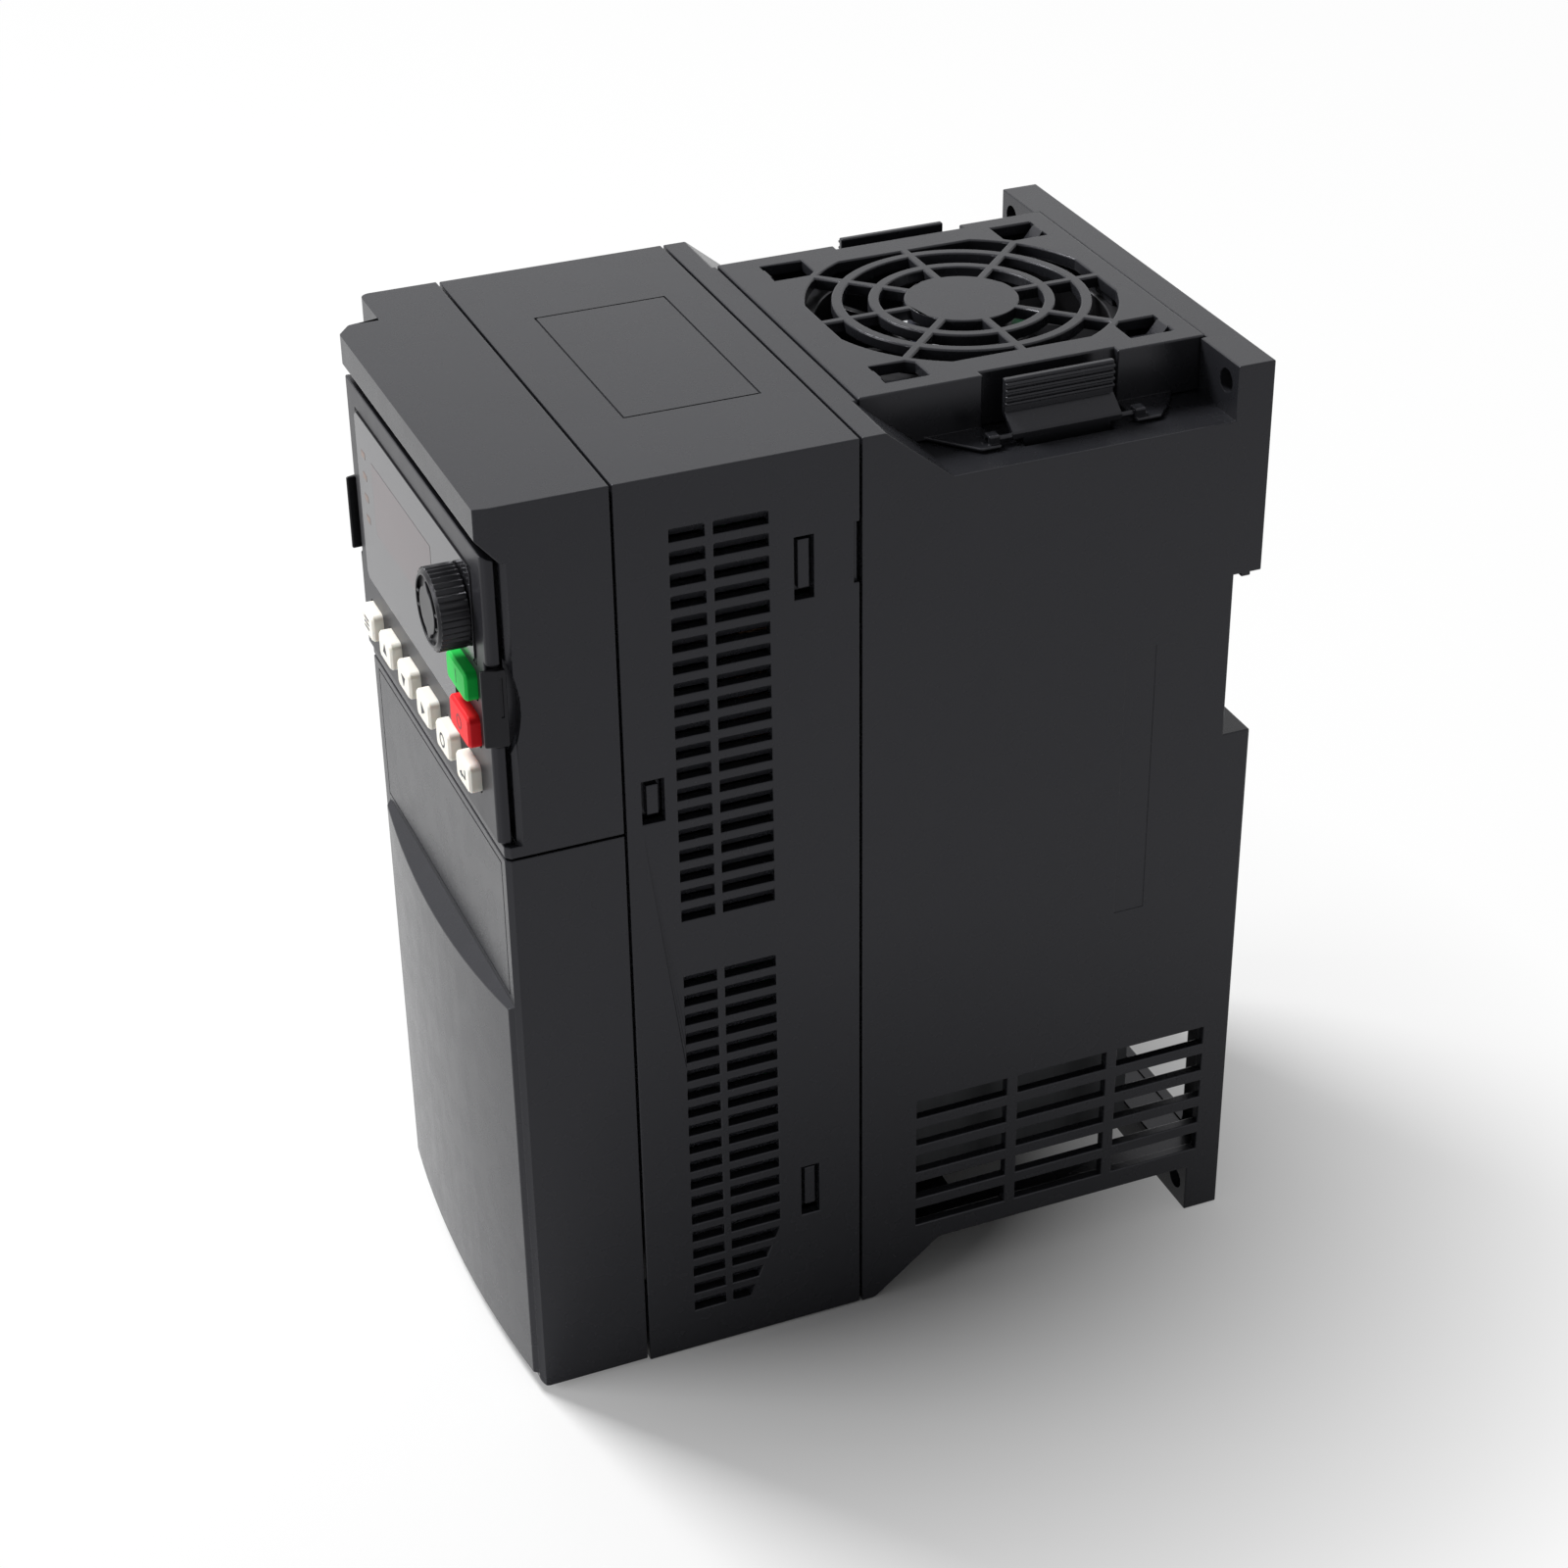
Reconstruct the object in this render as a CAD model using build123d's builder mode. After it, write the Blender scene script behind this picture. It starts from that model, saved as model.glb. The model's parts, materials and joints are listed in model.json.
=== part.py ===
from build123d import *
import os
from math import cos, radians, sin

# Variable frequency drive for a panel or a 35 mm rail, in millimetres.
# X runs across the drive (+X is the right side seen from the front), Y runs back to
# the mounting plane and +Z is up. The origin is on the standing plane, midway across
# the width and midway between the knob's face and the mounting plane.
# Depths are given as reaches from the rear seam, where the rear housing meets the
# middle frame: ahead(d) is d in front of that seam, behind(d) is d at its back.

# ---- Driving dimensions -------------------------------------------------------------

width = 100.0
height = 197.0
rear_depth = 83.7           # rear seam to the mounting plane
mid_depth = 47.0            # rear seam to the front seam
cover_depth = 23.0          # front seam to the lower cover's front plane
brow_lead = 1.8             # the brow stands this far in front of the lower cover
ear_depth = 16.0            # front seam to the set-back ear left of the nose
ear_width = 13.6            # how far the ear runs in from the left side

wall = 2.2                  # moulded walls
seam_gap = 0.5              # open line between moulded shells
fit_gap = 0.3               # clearance of a part that slides or drops in
running_gap = 0.05          # clearance of a pin or shaft that turns

# Rear housing
foot_land = 3.2             # bottom land behind the rear seam
slope_end = 17.7            # where the sloped bottom meets the raised bottom
raised_bottom = 11.5        # height of the housing's bottom over the standing plane
flange = 7.7                # thickness of the mounting flange
deck_drop = 11.0            # deck beside the fan cover, below the top
deck_ramp_top = 4.9         # the ramp down to the deck, at the housing's top
deck_ramp_end = 18.3        # and at the deck
back_wall = 2.5
rail_low = 118.2            # 35 mm rail recess, lower ledge
rail_height = 35.3
rail_sink = 5.9             # depth of the rail recess
rail_hook = 0.7             # how far the fixed hook drops behind the rail's lip
rail_hook_in = 1.6
rail_hook_out = 3.6
rail_latch_neck = 9.0       # rail latch: half width of its pull
rail_latch_wing = 12.0      # and of the wings that run behind the housing's lips
rail_latch_pad = 16.0
rail_latch_low = 70.0
rail_latch_sink = 5.1       # depth of the channel it slides in
rail_latch_cover = 1.7      # the housing's lips over its wings
rail_latch_travel = 3.0
rail_latch_nose = 1.4       # how far it stands up behind the rail's lip
mount_hole_r = 2.35
mount_inset_x = 4.5         # mounting holes, in from the sides
mount_inset_low = 5.5       # up from the foot
mount_inset_high = 4.5      # and down from the top

# Air vents low on the rear housing's sides
vent_columns = 3
vent_rows = 5
vent_height = 4.2
vent_rib = 2.55             # between two columns
vent_pitch_z = 6.85
vent_front = 12.4           # rear seam to the first column
vent_back = 5.9             # last column to the mounting plane
vent_first_z = 15.95
inlet_inset = 9.8           # air inlet through the back, in from the inner walls
inlet_low = 14.0
inlet_high = 46.0
inlet_rib = 4.0
side_field = (55.3, 61.8, 82.0, 142.0)      # shallow bare field on each side
side_field_depth = 0.12

# Heat sink
sink_low = 21.0
sink_gap = 3.2              # top of the heat sink to the fan
sink_plate_reach = 3.0
sink_plate = 5.0
sink_fin_back = 19.7        # fin tips to the mounting plane
sink_fin_count = 11
sink_fin = 1.6
sink_fin_inset = 3.0        # outer fins, in from the plate's ends

# Fan
fan_size = 60.0
fan_depth = 25.0
fan_corner = 3.0
fan_reach = 43.0            # fan axis behind the rear seam
fan_drop = 3.8              # fan's top below the drive's top
fan_rim = 1.5               # thinnest wall of the fan's frame
fan_tip_gap = 0.8
fan_hole_inset = 5.0
fan_hole_r = 2.2
blade_count = 7
blade_thickness = 1.5
blade_chord = 15.0
blade_camber = 1.6
hub_r = 14.2
motor_base_r = 15.0
motor_base = 2.5
strut_width = 3.0
shaft_r = 1.5
bearing_r = 3.5
bearing_wall = 1.2
shroud = 2.0                # wall of the fan's well
shroud_lap = 0.2            # how far it reaches below the fan

# Fan cover
cap_margin = 4.9            # beside the fan
cap_lead = 7.0              # in front of the fan
cap_lag = 4.0               # behind the fan
cap_rise = 0.3              # above the drive's top
cap_plate = 2.4
cap_skirt = 1.6
cap_notch_front = 12.0      # notch behind each squeeze latch, ahead of the fan's axis
cap_notch_back = 15.8       # and behind it
cap_notch = 1.8
grille_slots = ((18.8, 14.1), (11.9, 7.0), (4.8, -0.2))     # ring slots, in from the fan's side
grille_flat_x = 3.4         # the outer slots are cut off by flats this far inside
grille_flat_y = 1.1
grille_spokes = 8
grille_spoke = 1.8
clip_pocket = (-2.3, 5.4, -4.2, 2.1)        # X and Y spans about each of the fan's holes
clip_slot_end = 4.7
clip_tongue = (-0.5, 3.6)
clip_peg = 0.5              # clearance of a peg in the fan's hole
foot_plate = 0.7
foot_plate_reach = 8.6      # how far the foot plates reach out on the deck

# Squeeze latches of the fan cover, along Y from the fan's axis and up from the deck
latch_front = 9.2
latch_back = 13.3
latch_out = 7.2             # the foot of a latch, out from the cap
latch_band = 3.5            # its ribbed finger band, out from the cap
latch_wall = 1.3
latch_band_rise = 4.9
latch_ribs = 4
latch_rib = 0.55
latch_pivot_in = 0.7        # pivot, in from the foot's outside
latch_pivot_rise = 1.4
latch_pin_r = 0.6
latch_pin_end = 1.8         # how far the pins reach past the latch's ends
latch_lug = 2.2
latch_lug_half = 1.2
latch_toe_front = 7.0
latch_toe_back = 11.0
latch_toe_drop = 2.7
latch_foot_rise = 0.7
latch_slot_in = 0.5         # room in the deck's slot inside and outside the toe
latch_slot_out = 1.5

# Middle frame
louvre_pitch = 4.42
louvre_low = 9.65           # lowest slot of the lower block
louvre_drop = 92.7          # lowest slot of the upper block, below the top
louvre_rows = 19            # rows in the upper block
louvre_break = 12.0         # plain band between the blocks
louvre_columns = ((36.65, 29.95), (28.3, 17.85))
louvre_height = 2.85
louvre_throat = 0.85
louvre_slope = 1.2
louvre_cut_foot = (24.5, 9.75)              # the diagonal that ends the lowest rows
louvre_cut_rise = 0.42
hook_slot_rear = (13.0, 9.2)                # reaches of the slots at the rear seam
hook_slot_low = (26.8, 38.8)                # the lower one, up from the foot
hook_slot_high = (29.6, 17.0)               # the upper one, down from the top
hook_slot_front = (3.4, 7.8)                # slot for the upper cover, behind the front seam
hook_slot_front_rise = (-1.9, 7.2)          # up from the keypad's foot
hook_arm = 2.0
hook_barb = 1.5
hook_inset = 0.9
relief = (28.4, 16.2)       # pry notch beside the upper hook slot, down from the top
relief_reach = 1.3
relief_depth = 1.0
plate_label = (25.0, 35.6, 8.8)             # engraved field on the top: half x, reaches
plate_line = 0.4
engrave = 0.35
seam_lip = 3.0
lip = 1.2                   # thickness of the lips that cover the seams from inside
lip_low = 52.0
seat_rises = (60.0, 150.0)  # seats of the boards
seat_half = 4.0
seat_post = 6.0
board_stop = 2.0

# Front covers
split_drop = 3.1            # where the covers meet, below the keypad's foot
nose_right_cut = 1.0
nose_left_cut_x = 3.0
nose_left_cut_y = 2.7
sill_drop = 0.5             # sill of the upper cover, below the keypad's foot
recess = 2.5                # the wall behind the keypad's rim is set back this far
brow_low_front = 6.0        # underside of the brow below the top, in front
brow_low_back = 11.0        # and at the recess
finger_rises = (18.4, 37.1)                 # finger arcs beside the keypad clips
finger_depth = 2.0
ear_round = 2.0
panel_left = 4.6            # raised panel of the lower cover, in from the nose's left
panel_right = 2.0           # and from the right side
panel_rim = 1.0             # its rim stands this far in front
panel_crown = 2.6
panel_low = 3.6
panel_slope_drop = 32.8     # its top, below the covers' split
panel_slope = 0.72
cover_low = 0.8
cover_bottom_round = 2.0
label_left = 3.9            # engraved field: in from the nose's left
label_right = 3.2           # from the right side
label_low = 1.4             # above the panel's top
label_high = 1.8            # below the covers' split
label_line = 0.35
guide_lows = (10.0, 40.0)   # guide tongues of the lower cover
guide_tall = 8.0
guide = 1.5

# Keypad: heights are rises from its foot, and widths are set in from its rim
keypad_drop = 9.5           # top of the keypad below the top of the drive
keypad_tall = 58.2
key_case_gap_left = 0.1     # the rim stands in from the nose's left
key_case_gap_right = 1.0    # and from the right side
key_case_lead = 0.8         # in front of the lower cover
key_case_lift = 0.9         # the rim's back in front of the recess wall
key_case_cut = 0.9
key_case_top_slant = 1.0
body_left = 2.8             # the body behind the rim
body_right = 4.3
body_rises = (2.2, 54.2)
body_depth = 9.0            # its back in front of the front seam
body_wall = 1.5
overlay_inset = 6.6
overlay_rises = (17.6, 53.3)
overlay = 0.35
overlay_notch_x = 20.4      # the overlay steps round the two coloured keys
overlay_notch_rise = 34.3
overlay_round = 1.2
window_inset = 15.3
window_width = 36.0
window_rises = (25.7, 46.7)
digit_count = 4

white_key_count = 6
key_width = 8.2
key_height = 5.8
key_first = 10.0
key_pitch = 12.5
key_row_rise = 9.1
key_proud = 2.3
key_round = 1.3
key_edge = 0.45
key_flange = 0.8
key_flange_t = 1.0
wide_key_width = 11.4
wide_key_inset = 12.7
run_key_rise = 29.2
run_key_height = 5.8
stop_key_rise = 19.8
stop_key_height = 6.4
key_gap = 0.25
key_mat = 1.2

knob_inset = 13.2
knob_rise = 43.1
knob_r = 7.8
knob_length = 5.9
knob_gap = 0.6
knob_edge = 0.5
knob_ribs = 36
knob_rib = 0.45
knob_rim = 1.0
knob_groove = 0.7
knob_disc_r = 4.4
pot_r = 7.0
pot_neck = 1.4
pot_shaft_r = 3.0

keypad_clip_rises = (20.7, 36.2)
keypad_clip_lead = 1.4      # in front of the keypad's rim
keypad_clip_back = 0.7      # behind the back of the rim
keypad_clip_t = 1.3
keypad_clip_travel = 1.0
clip_notch = 1.9            # depth of the clip's notch in the keypad's side
clip_stem = 3.2
clip_stem_lead = 1.2
clip_stem_rises = (23.7, 33.1)

# Boards and terminals
board = 1.6
board_inset = 3.8           # boards stand in from the inner walls
board_setback = 4.0         # the control board's back behind the front seam
board_over = 10.0           # how far the boards reach above the heat sink
control_board_gap = 12.0    # between the power terminals and the control board
board_pad = 3.5             # keypad's board behind the back of its rim
socket_half = 14.0
socket_tall = 5.0
socket_wall = 1.2
screw_head_r = 2.9
screw_head = 1.8

terminal_pitch = 9.0        # power terminals
terminal_low = 14.0
terminal_height = 17.0
terminal_setback = 9.0      # their front behind the front seam
terminal_hole_r = 3.0
terminal_sink = 4.0
terminal_margin = 3.0       # room beside the row on its board
signal_pitch = 5.08         # control terminals
signal_low = 50.0
signal_height = 12.0
signal_depth = 10.0
signal_margin = 5.0
capacitor_r = 11.5
capacitor_length = 33.0
capacitor_places = ((-28.0, 138.0), (-2.0, 138.0), (-28.0, 112.0), (-2.0, 112.0))
module_half = 30.0
module_low = 62.0
module_high = 108.0
module_depth = 7.0
module_ear = 5.0
module_ear_t = 3.0
relay_size = (15.0, 19.0, 12.0)
relay_places = ((-32.0, 74.0), (-32.0, 92.0), (-12.0, 74.0))
transformer_size = (26.0, 22.0, 24.0)
transformer_place = (26.0, 96.0)
choke_r = 12.0
choke_wire_r = 4.0
choke_place = (26.0, 136.0)
cable_inset = 12.0          # bottom opening, in from the sides
cable_back = 11.0           # from the rear seam
cable_front = 9.0           # and from the front seam
cable_plate = 2.0
cable_plate_lap = 4.0
cable_hole_r = 8.0
cable_hole_inset = 11.5     # outer holes, in from the opening's ends
grommet_wall = 1.6
grommet_lip = 1.2

# ---- Stations worked out from the sizes above ----------------------------------------

half = width / 2
wall_in = half - wall                       # inner faces of the side walls
nose_left = half - ear_width
cover_reach = mid_depth + cover_depth
brow_reach = cover_reach + brow_lead
ear_reach = mid_depth + ear_depth
recess_reach = cover_reach - recess
key_case_reach = cover_reach + key_case_lead
key_case_skirt = recess_reach + key_case_lift
knob_reach = key_case_reach + knob_gap + knob_length
seam_y = (knob_reach - rear_depth) / 2

flange_reach = rear_depth - flange
rail_reach = rear_depth - rail_sink
rail_high = rail_low + rail_height
rail_latch_channel = rear_depth - rail_latch_sink
rail_latch_wings_reach = rear_depth - rail_latch_cover
vent_span = rear_depth - vent_back - vent_front
vent_length = (vent_span - (vent_columns - 1) * vent_rib) / vent_columns
inlet_half = wall_in - inlet_inset
deck_z = height - deck_drop

fan_half = fan_size / 2
fan_top = height - fan_drop
fan_low = fan_top - fan_depth
fan_bore_r = fan_half - fan_rim
fan_hole = fan_half - fan_hole_inset        # holes from the axis, along X and Y
cap_half = fan_half + cap_margin
cap_front = fan_reach - fan_half - cap_lead
cap_back = fan_reach + fan_half + cap_lag
cap_top = height + cap_rise
cap_under = cap_top - cap_plate
notch_front = fan_reach - cap_notch_front
notch_back = fan_reach + cap_notch_back
latch_foot_x = cap_half + latch_out
latch_band_x = cap_half + latch_band
latch_pivot_x = latch_foot_x - latch_pivot_in
latch_pivot_z = deck_z + latch_pivot_rise
foot_plate_out = cap_half + foot_plate_reach

board_half = wall_in - board_inset
sink_high = fan_low - sink_gap
sink_fin_reach = rear_depth - sink_fin_back
module_reach = module_depth - sink_plate_reach      # how far the modules stand ahead
board_front = module_reach + board
board_top = sink_high + board_over
control_reach = mid_depth - board_setback
terminal_reach = mid_depth - terminal_setback
terminal_ways = int(2 * (board_half - terminal_margin) / terminal_pitch)
signal_ways = int(2 * (board_half - signal_margin) / signal_pitch)
cable_half = half - cable_inset
cable_mid = (cable_back + mid_depth - cable_front) / 2
cable_hole_xs = (cable_hole_inset - cable_half, 0.0, cable_half - cable_hole_inset)

keypad_high = height - keypad_drop
keypad_low = keypad_high - keypad_tall
key_case_left = nose_left - key_case_gap_left
key_case_right = half - key_case_gap_right
keypad_left = key_case_left - body_left
keypad_right = key_case_right - body_right
body_low = keypad_low + body_rises[0]
body_high = keypad_low + body_rises[1]
body_back = mid_depth + body_depth
board_reach = key_case_skirt - board_pad    # front of the keypad's board
window_left = key_case_left - window_inset
window_right = window_width - window_left
window_low = keypad_low + window_rises[0]
window_high = keypad_low + window_rises[1]
key_row_z = keypad_low + key_row_rise
wide_key_x = key_case_right - wide_key_inset
run_key_z = keypad_low + run_key_rise
stop_key_z = keypad_low + stop_key_rise
knob_x = key_case_right - knob_inset
knob_z = keypad_low + knob_rise
clip_low = keypad_low + keypad_clip_rises[0]
clip_high = keypad_low + keypad_clip_rises[1]
clip_reach = key_case_reach + keypad_clip_lead
stem_front = key_case_skirt + clip_stem_lead
stem_low = keypad_low + clip_stem_rises[0]
stem_high = keypad_low + clip_stem_rises[1]

cover_split = keypad_low - split_drop
sill_top = keypad_low - sill_drop
panel_slope_z = cover_split - panel_slope_drop
hook_slots_z = ((height - hook_slot_high[0], height - hook_slot_high[1]), hook_slot_low)
hook_slot_front_z = (keypad_low + hook_slot_front_rise[0], keypad_low + hook_slot_front_rise[1])


def ahead(reach):
    """Y of a point `reach` in front of the rear seam."""
    return seam_y - reach


def behind(reach):
    """Y of a point `reach` behind the rear seam."""
    return seam_y + reach


def facing(y):
    """Plane parallel to the front at height Y = y: its X is X, its Y is Z, +Z is -Y."""
    return Plane.XZ.offset(-y)


def block(x0, x1, y0, y1, z0, z1, mode=Mode.ADD):
    """Straight block between two corners, added to the part being built."""
    with Locations(((x0 + x1) / 2, (y0 + y1) / 2, (z0 + z1) / 2)):
        Box(abs(x1 - x0), abs(y1 - y0), abs(z1 - z0), mode=mode)


def save(piece, name):
    """Label a finished piece and write it as its own STEP file."""
    piece.part.label = name
    export_step(piece.part, f"parts/{name}.step")


# ---- Rear housing ----------------------------------------------------------------------

def rear_outline():
    """Side profile of the rear housing, with the sloped bottom and the rail recess."""
    return [
        (behind(seam_gap / 2), 0),
        (behind(foot_land), 0),
        (behind(slope_end), raised_bottom),
        (behind(flange_reach), raised_bottom),
        (behind(flange_reach), 0),
        (behind(rear_depth), 0),
        (behind(rear_depth), rail_low),
        (behind(rail_reach), rail_low),
        (behind(rail_reach), rail_high),
        (behind(rail_reach + rail_hook_in), rail_high),
        (behind(rail_reach + rail_hook_in), rail_high - rail_hook),
        (behind(rail_reach + rail_hook_out), rail_high - rail_hook),
        (behind(rail_reach + rail_hook_out), rail_high),
        (behind(rear_depth), rail_high),
        (behind(rear_depth), height),
        (behind(seam_gap / 2), height),
    ]


def rear_cavity():
    """Side profile of the duct inside the rear housing, one wall inside the outline."""
    front = behind(seam_gap / 2) - 1
    floor = raised_bottom + wall
    back = behind(rear_depth - back_wall)
    step = behind(rail_reach - wall)
    return [
        (front, wall),
        (behind(foot_land), wall),
        (behind(slope_end), floor),
        (back, floor),
        (back, rail_low - wall),
        (step, rail_low - wall),
        (step, rail_high + wall),
        (back, rail_high + wall),
        (back, deck_z - wall),
        (front, deck_z - wall),
    ]


def vent_grid():
    """Sketch of the side vents, drawn on the plane of the sides."""
    mid_y = behind(vent_front + vent_span / 2)
    mid_z = vent_first_z + vent_height / 2 + vent_pitch_z * (vent_rows - 1) / 2
    with BuildSketch(Plane.YZ) as grid:
        with Locations((mid_y, mid_z)):
            with GridLocations(vent_length + vent_rib, vent_pitch_z, vent_columns, vent_rows):
                Rectangle(vent_length, vent_height)
    return grid.sketch


def make_rear_housing():
    """Moulded duct housing with the fan deck, mounting flange and rail recess."""
    with BuildPart() as housing:
        with BuildSketch(Plane.YZ) as side:
            Polygon(*rear_outline(), align=None)
            corners = side.vertices().filter_by(
                lambda v: abs(v.X - behind(slope_end)) < 0.01
                or abs(v.X - behind(foot_land)) < 0.01)
            fillet(corners, radius=2.5)
        extrude(amount=half, both=True)
        with BuildSketch(Plane.YZ):
            Polygon(*rear_cavity(), align=None)
        extrude(amount=wall_in, both=True, mode=Mode.SUBTRACT)
        # pocket behind the top strip, at the seam
        block(-wall_in, wall_in, behind(0) - 1, behind(deck_ramp_top - wall),
              deck_z - wall - 1, height - wall, Mode.SUBTRACT)
        # place of the fan cover, and the finger decks left and right of it
        block(-cap_half - fit_gap, cap_half + fit_gap, behind(cap_front - fit_gap),
              behind(cap_back + fit_gap), deck_z, height + 1, Mode.SUBTRACT)
        for side_sign in (1, -1):
            with BuildSketch(Plane.YZ.offset(side_sign * cap_half)):
                Polygon((behind(deck_ramp_top), height), (behind(deck_ramp_end), deck_z),
                        (behind(flange_reach), deck_z), (behind(flange_reach), height + 1),
                        (behind(deck_ramp_top), height + 1), align=None)
            extrude(amount=side_sign * (half - cap_half + 1), mode=Mode.SUBTRACT)
        # well for the fan, with a shroud below the deck
        well = fan_size + 4 * fit_gap
        shroud_low = fan_low - shroud_lap
        with BuildSketch(Plane.XY.offset(shroud_low)):
            with Locations((0, behind(fan_reach))):
                Rectangle(well + 2 * shroud, well + 2 * shroud)
        extrude(amount=deck_z - wall / 2 - shroud_low)
        with BuildSketch(Plane.XY.offset(shroud_low - 1)):
            with Locations((0, behind(fan_reach))):
                Rectangle(well, well)
        extrude(amount=deck_z - shroud_low + 2, mode=Mode.SUBTRACT)
        # side vents, and the air inlet through the back and the bottom
        extrude(vent_grid(), amount=width, both=True, mode=Mode.SUBTRACT)
        for x0, x1 in ((-inlet_half, -inlet_rib / 2), (inlet_rib / 2, inlet_half)):
            block(x0, x1, behind(rear_depth - back_wall - 1), behind(rear_depth + 1),
                  inlet_low, inlet_high, Mode.SUBTRACT)
            block(x0, x1, behind(slope_end + 8), behind(flange_reach - 3),
                  raised_bottom - 1, raised_bottom + wall + 1, Mode.SUBTRACT)
        # bare shallow fields on the sides
        field_y0, field_y1, field_z0, field_z1 = side_field
        with BuildSketch(Plane.YZ.offset(half)) as field:
            with Locations((behind((field_y0 + field_y1) / 2), (field_z0 + field_z1) / 2)):
                Rectangle(field_y1 - field_y0, field_z1 - field_z0)
        extrude(amount=-side_field_depth, mode=Mode.SUBTRACT)
        extrude(field.sketch.moved(Location((-width, 0, 0))), amount=side_field_depth,
                mode=Mode.SUBTRACT)
        # rails that the heat sink's plate stands against
        for side_sign in (1, -1):
            rail_y = behind(sink_plate_reach + sink_plate)
            block(side_sign * (board_half - 1.5), side_sign * (wall_in + 0.5), rail_y,
                  rail_y + 2, sink_low, sink_high)
            # slot in the deck for the toe of a squeeze latch
            block(side_sign * (latch_foot_x - latch_wall - latch_slot_in),
                  side_sign * (latch_foot_x + latch_slot_out),
                  behind(fan_reach - latch_toe_front - fit_gap),
                  behind(fan_reach + latch_toe_back + fit_gap),
                  deck_z - 2 * wall, deck_z + 1, Mode.SUBTRACT)
            # lip that covers the rear seam from inside
            lip_out = side_sign * (wall_in - fit_gap)
            block(lip_out, lip_out - side_sign * lip, ahead(seam_lip), behind(3),
                  hook_slots_z[1][1] + 3, hook_slots_z[0][0] - 3)
            block(lip_out, lip_out + side_sign * 1.5, behind(seam_gap), behind(3),
                  hook_slots_z[1][1] + 3, hook_slots_z[0][0] - 3)
        lip_top_z = height - wall - fit_gap
        block(-cap_half, cap_half, ahead(seam_lip), behind(3), lip_top_z - lip, lip_top_z)
        block(-cap_half, cap_half, behind(seam_gap), behind(3), lip_top_z - lip, height - 1)
        # hook arms that snap into the middle frame
        arm_out = wall_in - fit_gap / 2
        barb_tip = ahead(hook_slot_rear[0] - hook_inset)
        for side_sign in (1, -1):
            for low, high in hook_slots_z:
                block(side_sign * (arm_out - hook_arm), side_sign * arm_out,
                      ahead(hook_slot_rear[0]), behind(6), low + hook_inset, high - hook_inset)
                block(side_sign * (arm_out - hook_arm), side_sign * (arm_out + 1),
                      behind(seam_gap), behind(6), low + hook_inset, high - hook_inset)
                block(side_sign * arm_out, side_sign * (arm_out + hook_barb), barb_tip,
                      barb_tip + 2.4, low + 2 * hook_inset, high - hook_inset)
        # lower rail latch: a pad with an undercut channel, open at the recess
        block(-rail_latch_pad, rail_latch_pad, behind(rail_reach - wall - 0.1),
              behind(rear_depth - 0.5), rail_latch_low - 3, rail_low - 0.5)
        block(-rail_latch_neck, rail_latch_neck, behind(rail_latch_channel),
              behind(rear_depth + 1), rail_latch_low, rail_low + 1, Mode.SUBTRACT)
        block(-rail_latch_wing, rail_latch_wing, behind(rail_latch_channel),
              behind(rail_latch_wings_reach), rail_latch_low, rail_low + 1, Mode.SUBTRACT)
        # mounting holes
        with BuildSketch(facing(behind(rear_depth + 1))):
            with Locations((0, (mount_inset_low + height - mount_inset_high) / 2)):
                with GridLocations(width - 2 * mount_inset_x,
                                   height - mount_inset_low - mount_inset_high, 2, 2):
                    Circle(mount_hole_r)
        extrude(amount=flange + 2, mode=Mode.SUBTRACT)
    return housing


def make_rail_latch():
    """Sliding latch in the back: pulled down, it lets the rail out of the recess."""
    gap = fit_gap
    low = rail_latch_low + rail_latch_travel + gap
    with BuildPart() as latch:
        block(-rail_latch_wing + gap, rail_latch_wing - gap, behind(rail_latch_channel + gap),
              behind(rail_latch_wings_reach - gap), low, rail_low - 1)
        block(-rail_latch_neck + gap, rail_latch_neck - gap, behind(rail_latch_wings_reach - 1),
              behind(rear_depth - gap), low, low + 12)
        block(-rail_latch_neck + gap, rail_latch_neck - gap,
              behind(rail_reach + rail_hook_in + 0.1), behind(rail_reach + rail_hook_out),
              rail_low - 2, rail_low + rail_latch_nose)
        # screwdriver slot in the pull
        block(-3, 3, behind(rear_depth - 2), behind(rear_depth + 1), low + 4, low + 7,
              Mode.SUBTRACT)
    return latch


# ---- Heat sink, power modules and boards ---------------------------------------------------

def make_heat_sink():
    """Extruded heat sink that stands in the air duct."""
    fin_length = sink_fin_reach - sink_plate_reach - sink_plate
    fin_mid = behind(sink_plate_reach + sink_plate + fin_length / 2)
    pitch = 2 * (board_half - sink_fin_inset) / (sink_fin_count - 1)
    with BuildPart() as sink:
        block(-board_half, board_half, behind(sink_plate_reach),
              behind(sink_plate_reach + sink_plate), sink_low, sink_high)
        with Locations((0, fin_mid, (sink_low + sink_high) / 2)):
            with GridLocations(pitch, 1, sink_fin_count, 1):
                Box(sink_fin, fin_length + 1, sink_high - sink_low)
    return sink


def make_power_module():
    """Semiconductor module clamped between the heat sink and the power board."""
    with BuildPart() as module:
        block(-module_half, module_half, behind(sink_plate_reach),
              behind(sink_plate_reach - module_ear_t), module_low, module_high)
        block(-module_half + module_ear + 1, module_half - module_ear - 1,
              behind(sink_plate_reach), ahead(module_reach), module_low, module_high)
    return module


def make_power_screws():
    """Clamping screws on the floors of the power terminals' wells."""
    seat = ahead(terminal_reach - terminal_sink)
    z = terminal_low + terminal_height / 2 + 1
    places = [(x, z) for x in terminal_xs(terminal_ways, terminal_pitch)]
    with BuildPart() as group:
        with BuildSketch(facing(seat)):
            with Locations(*places):
                Circle(screw_head_r)
        extrude(amount=screw_head)
    return group


def make_power_board():
    """Circuit board on the power module that carries the large parts."""
    with BuildPart() as plate:
        block(-board_half, board_half, ahead(module_reach), ahead(board_front),
              terminal_low, board_top)
    return plate


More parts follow.
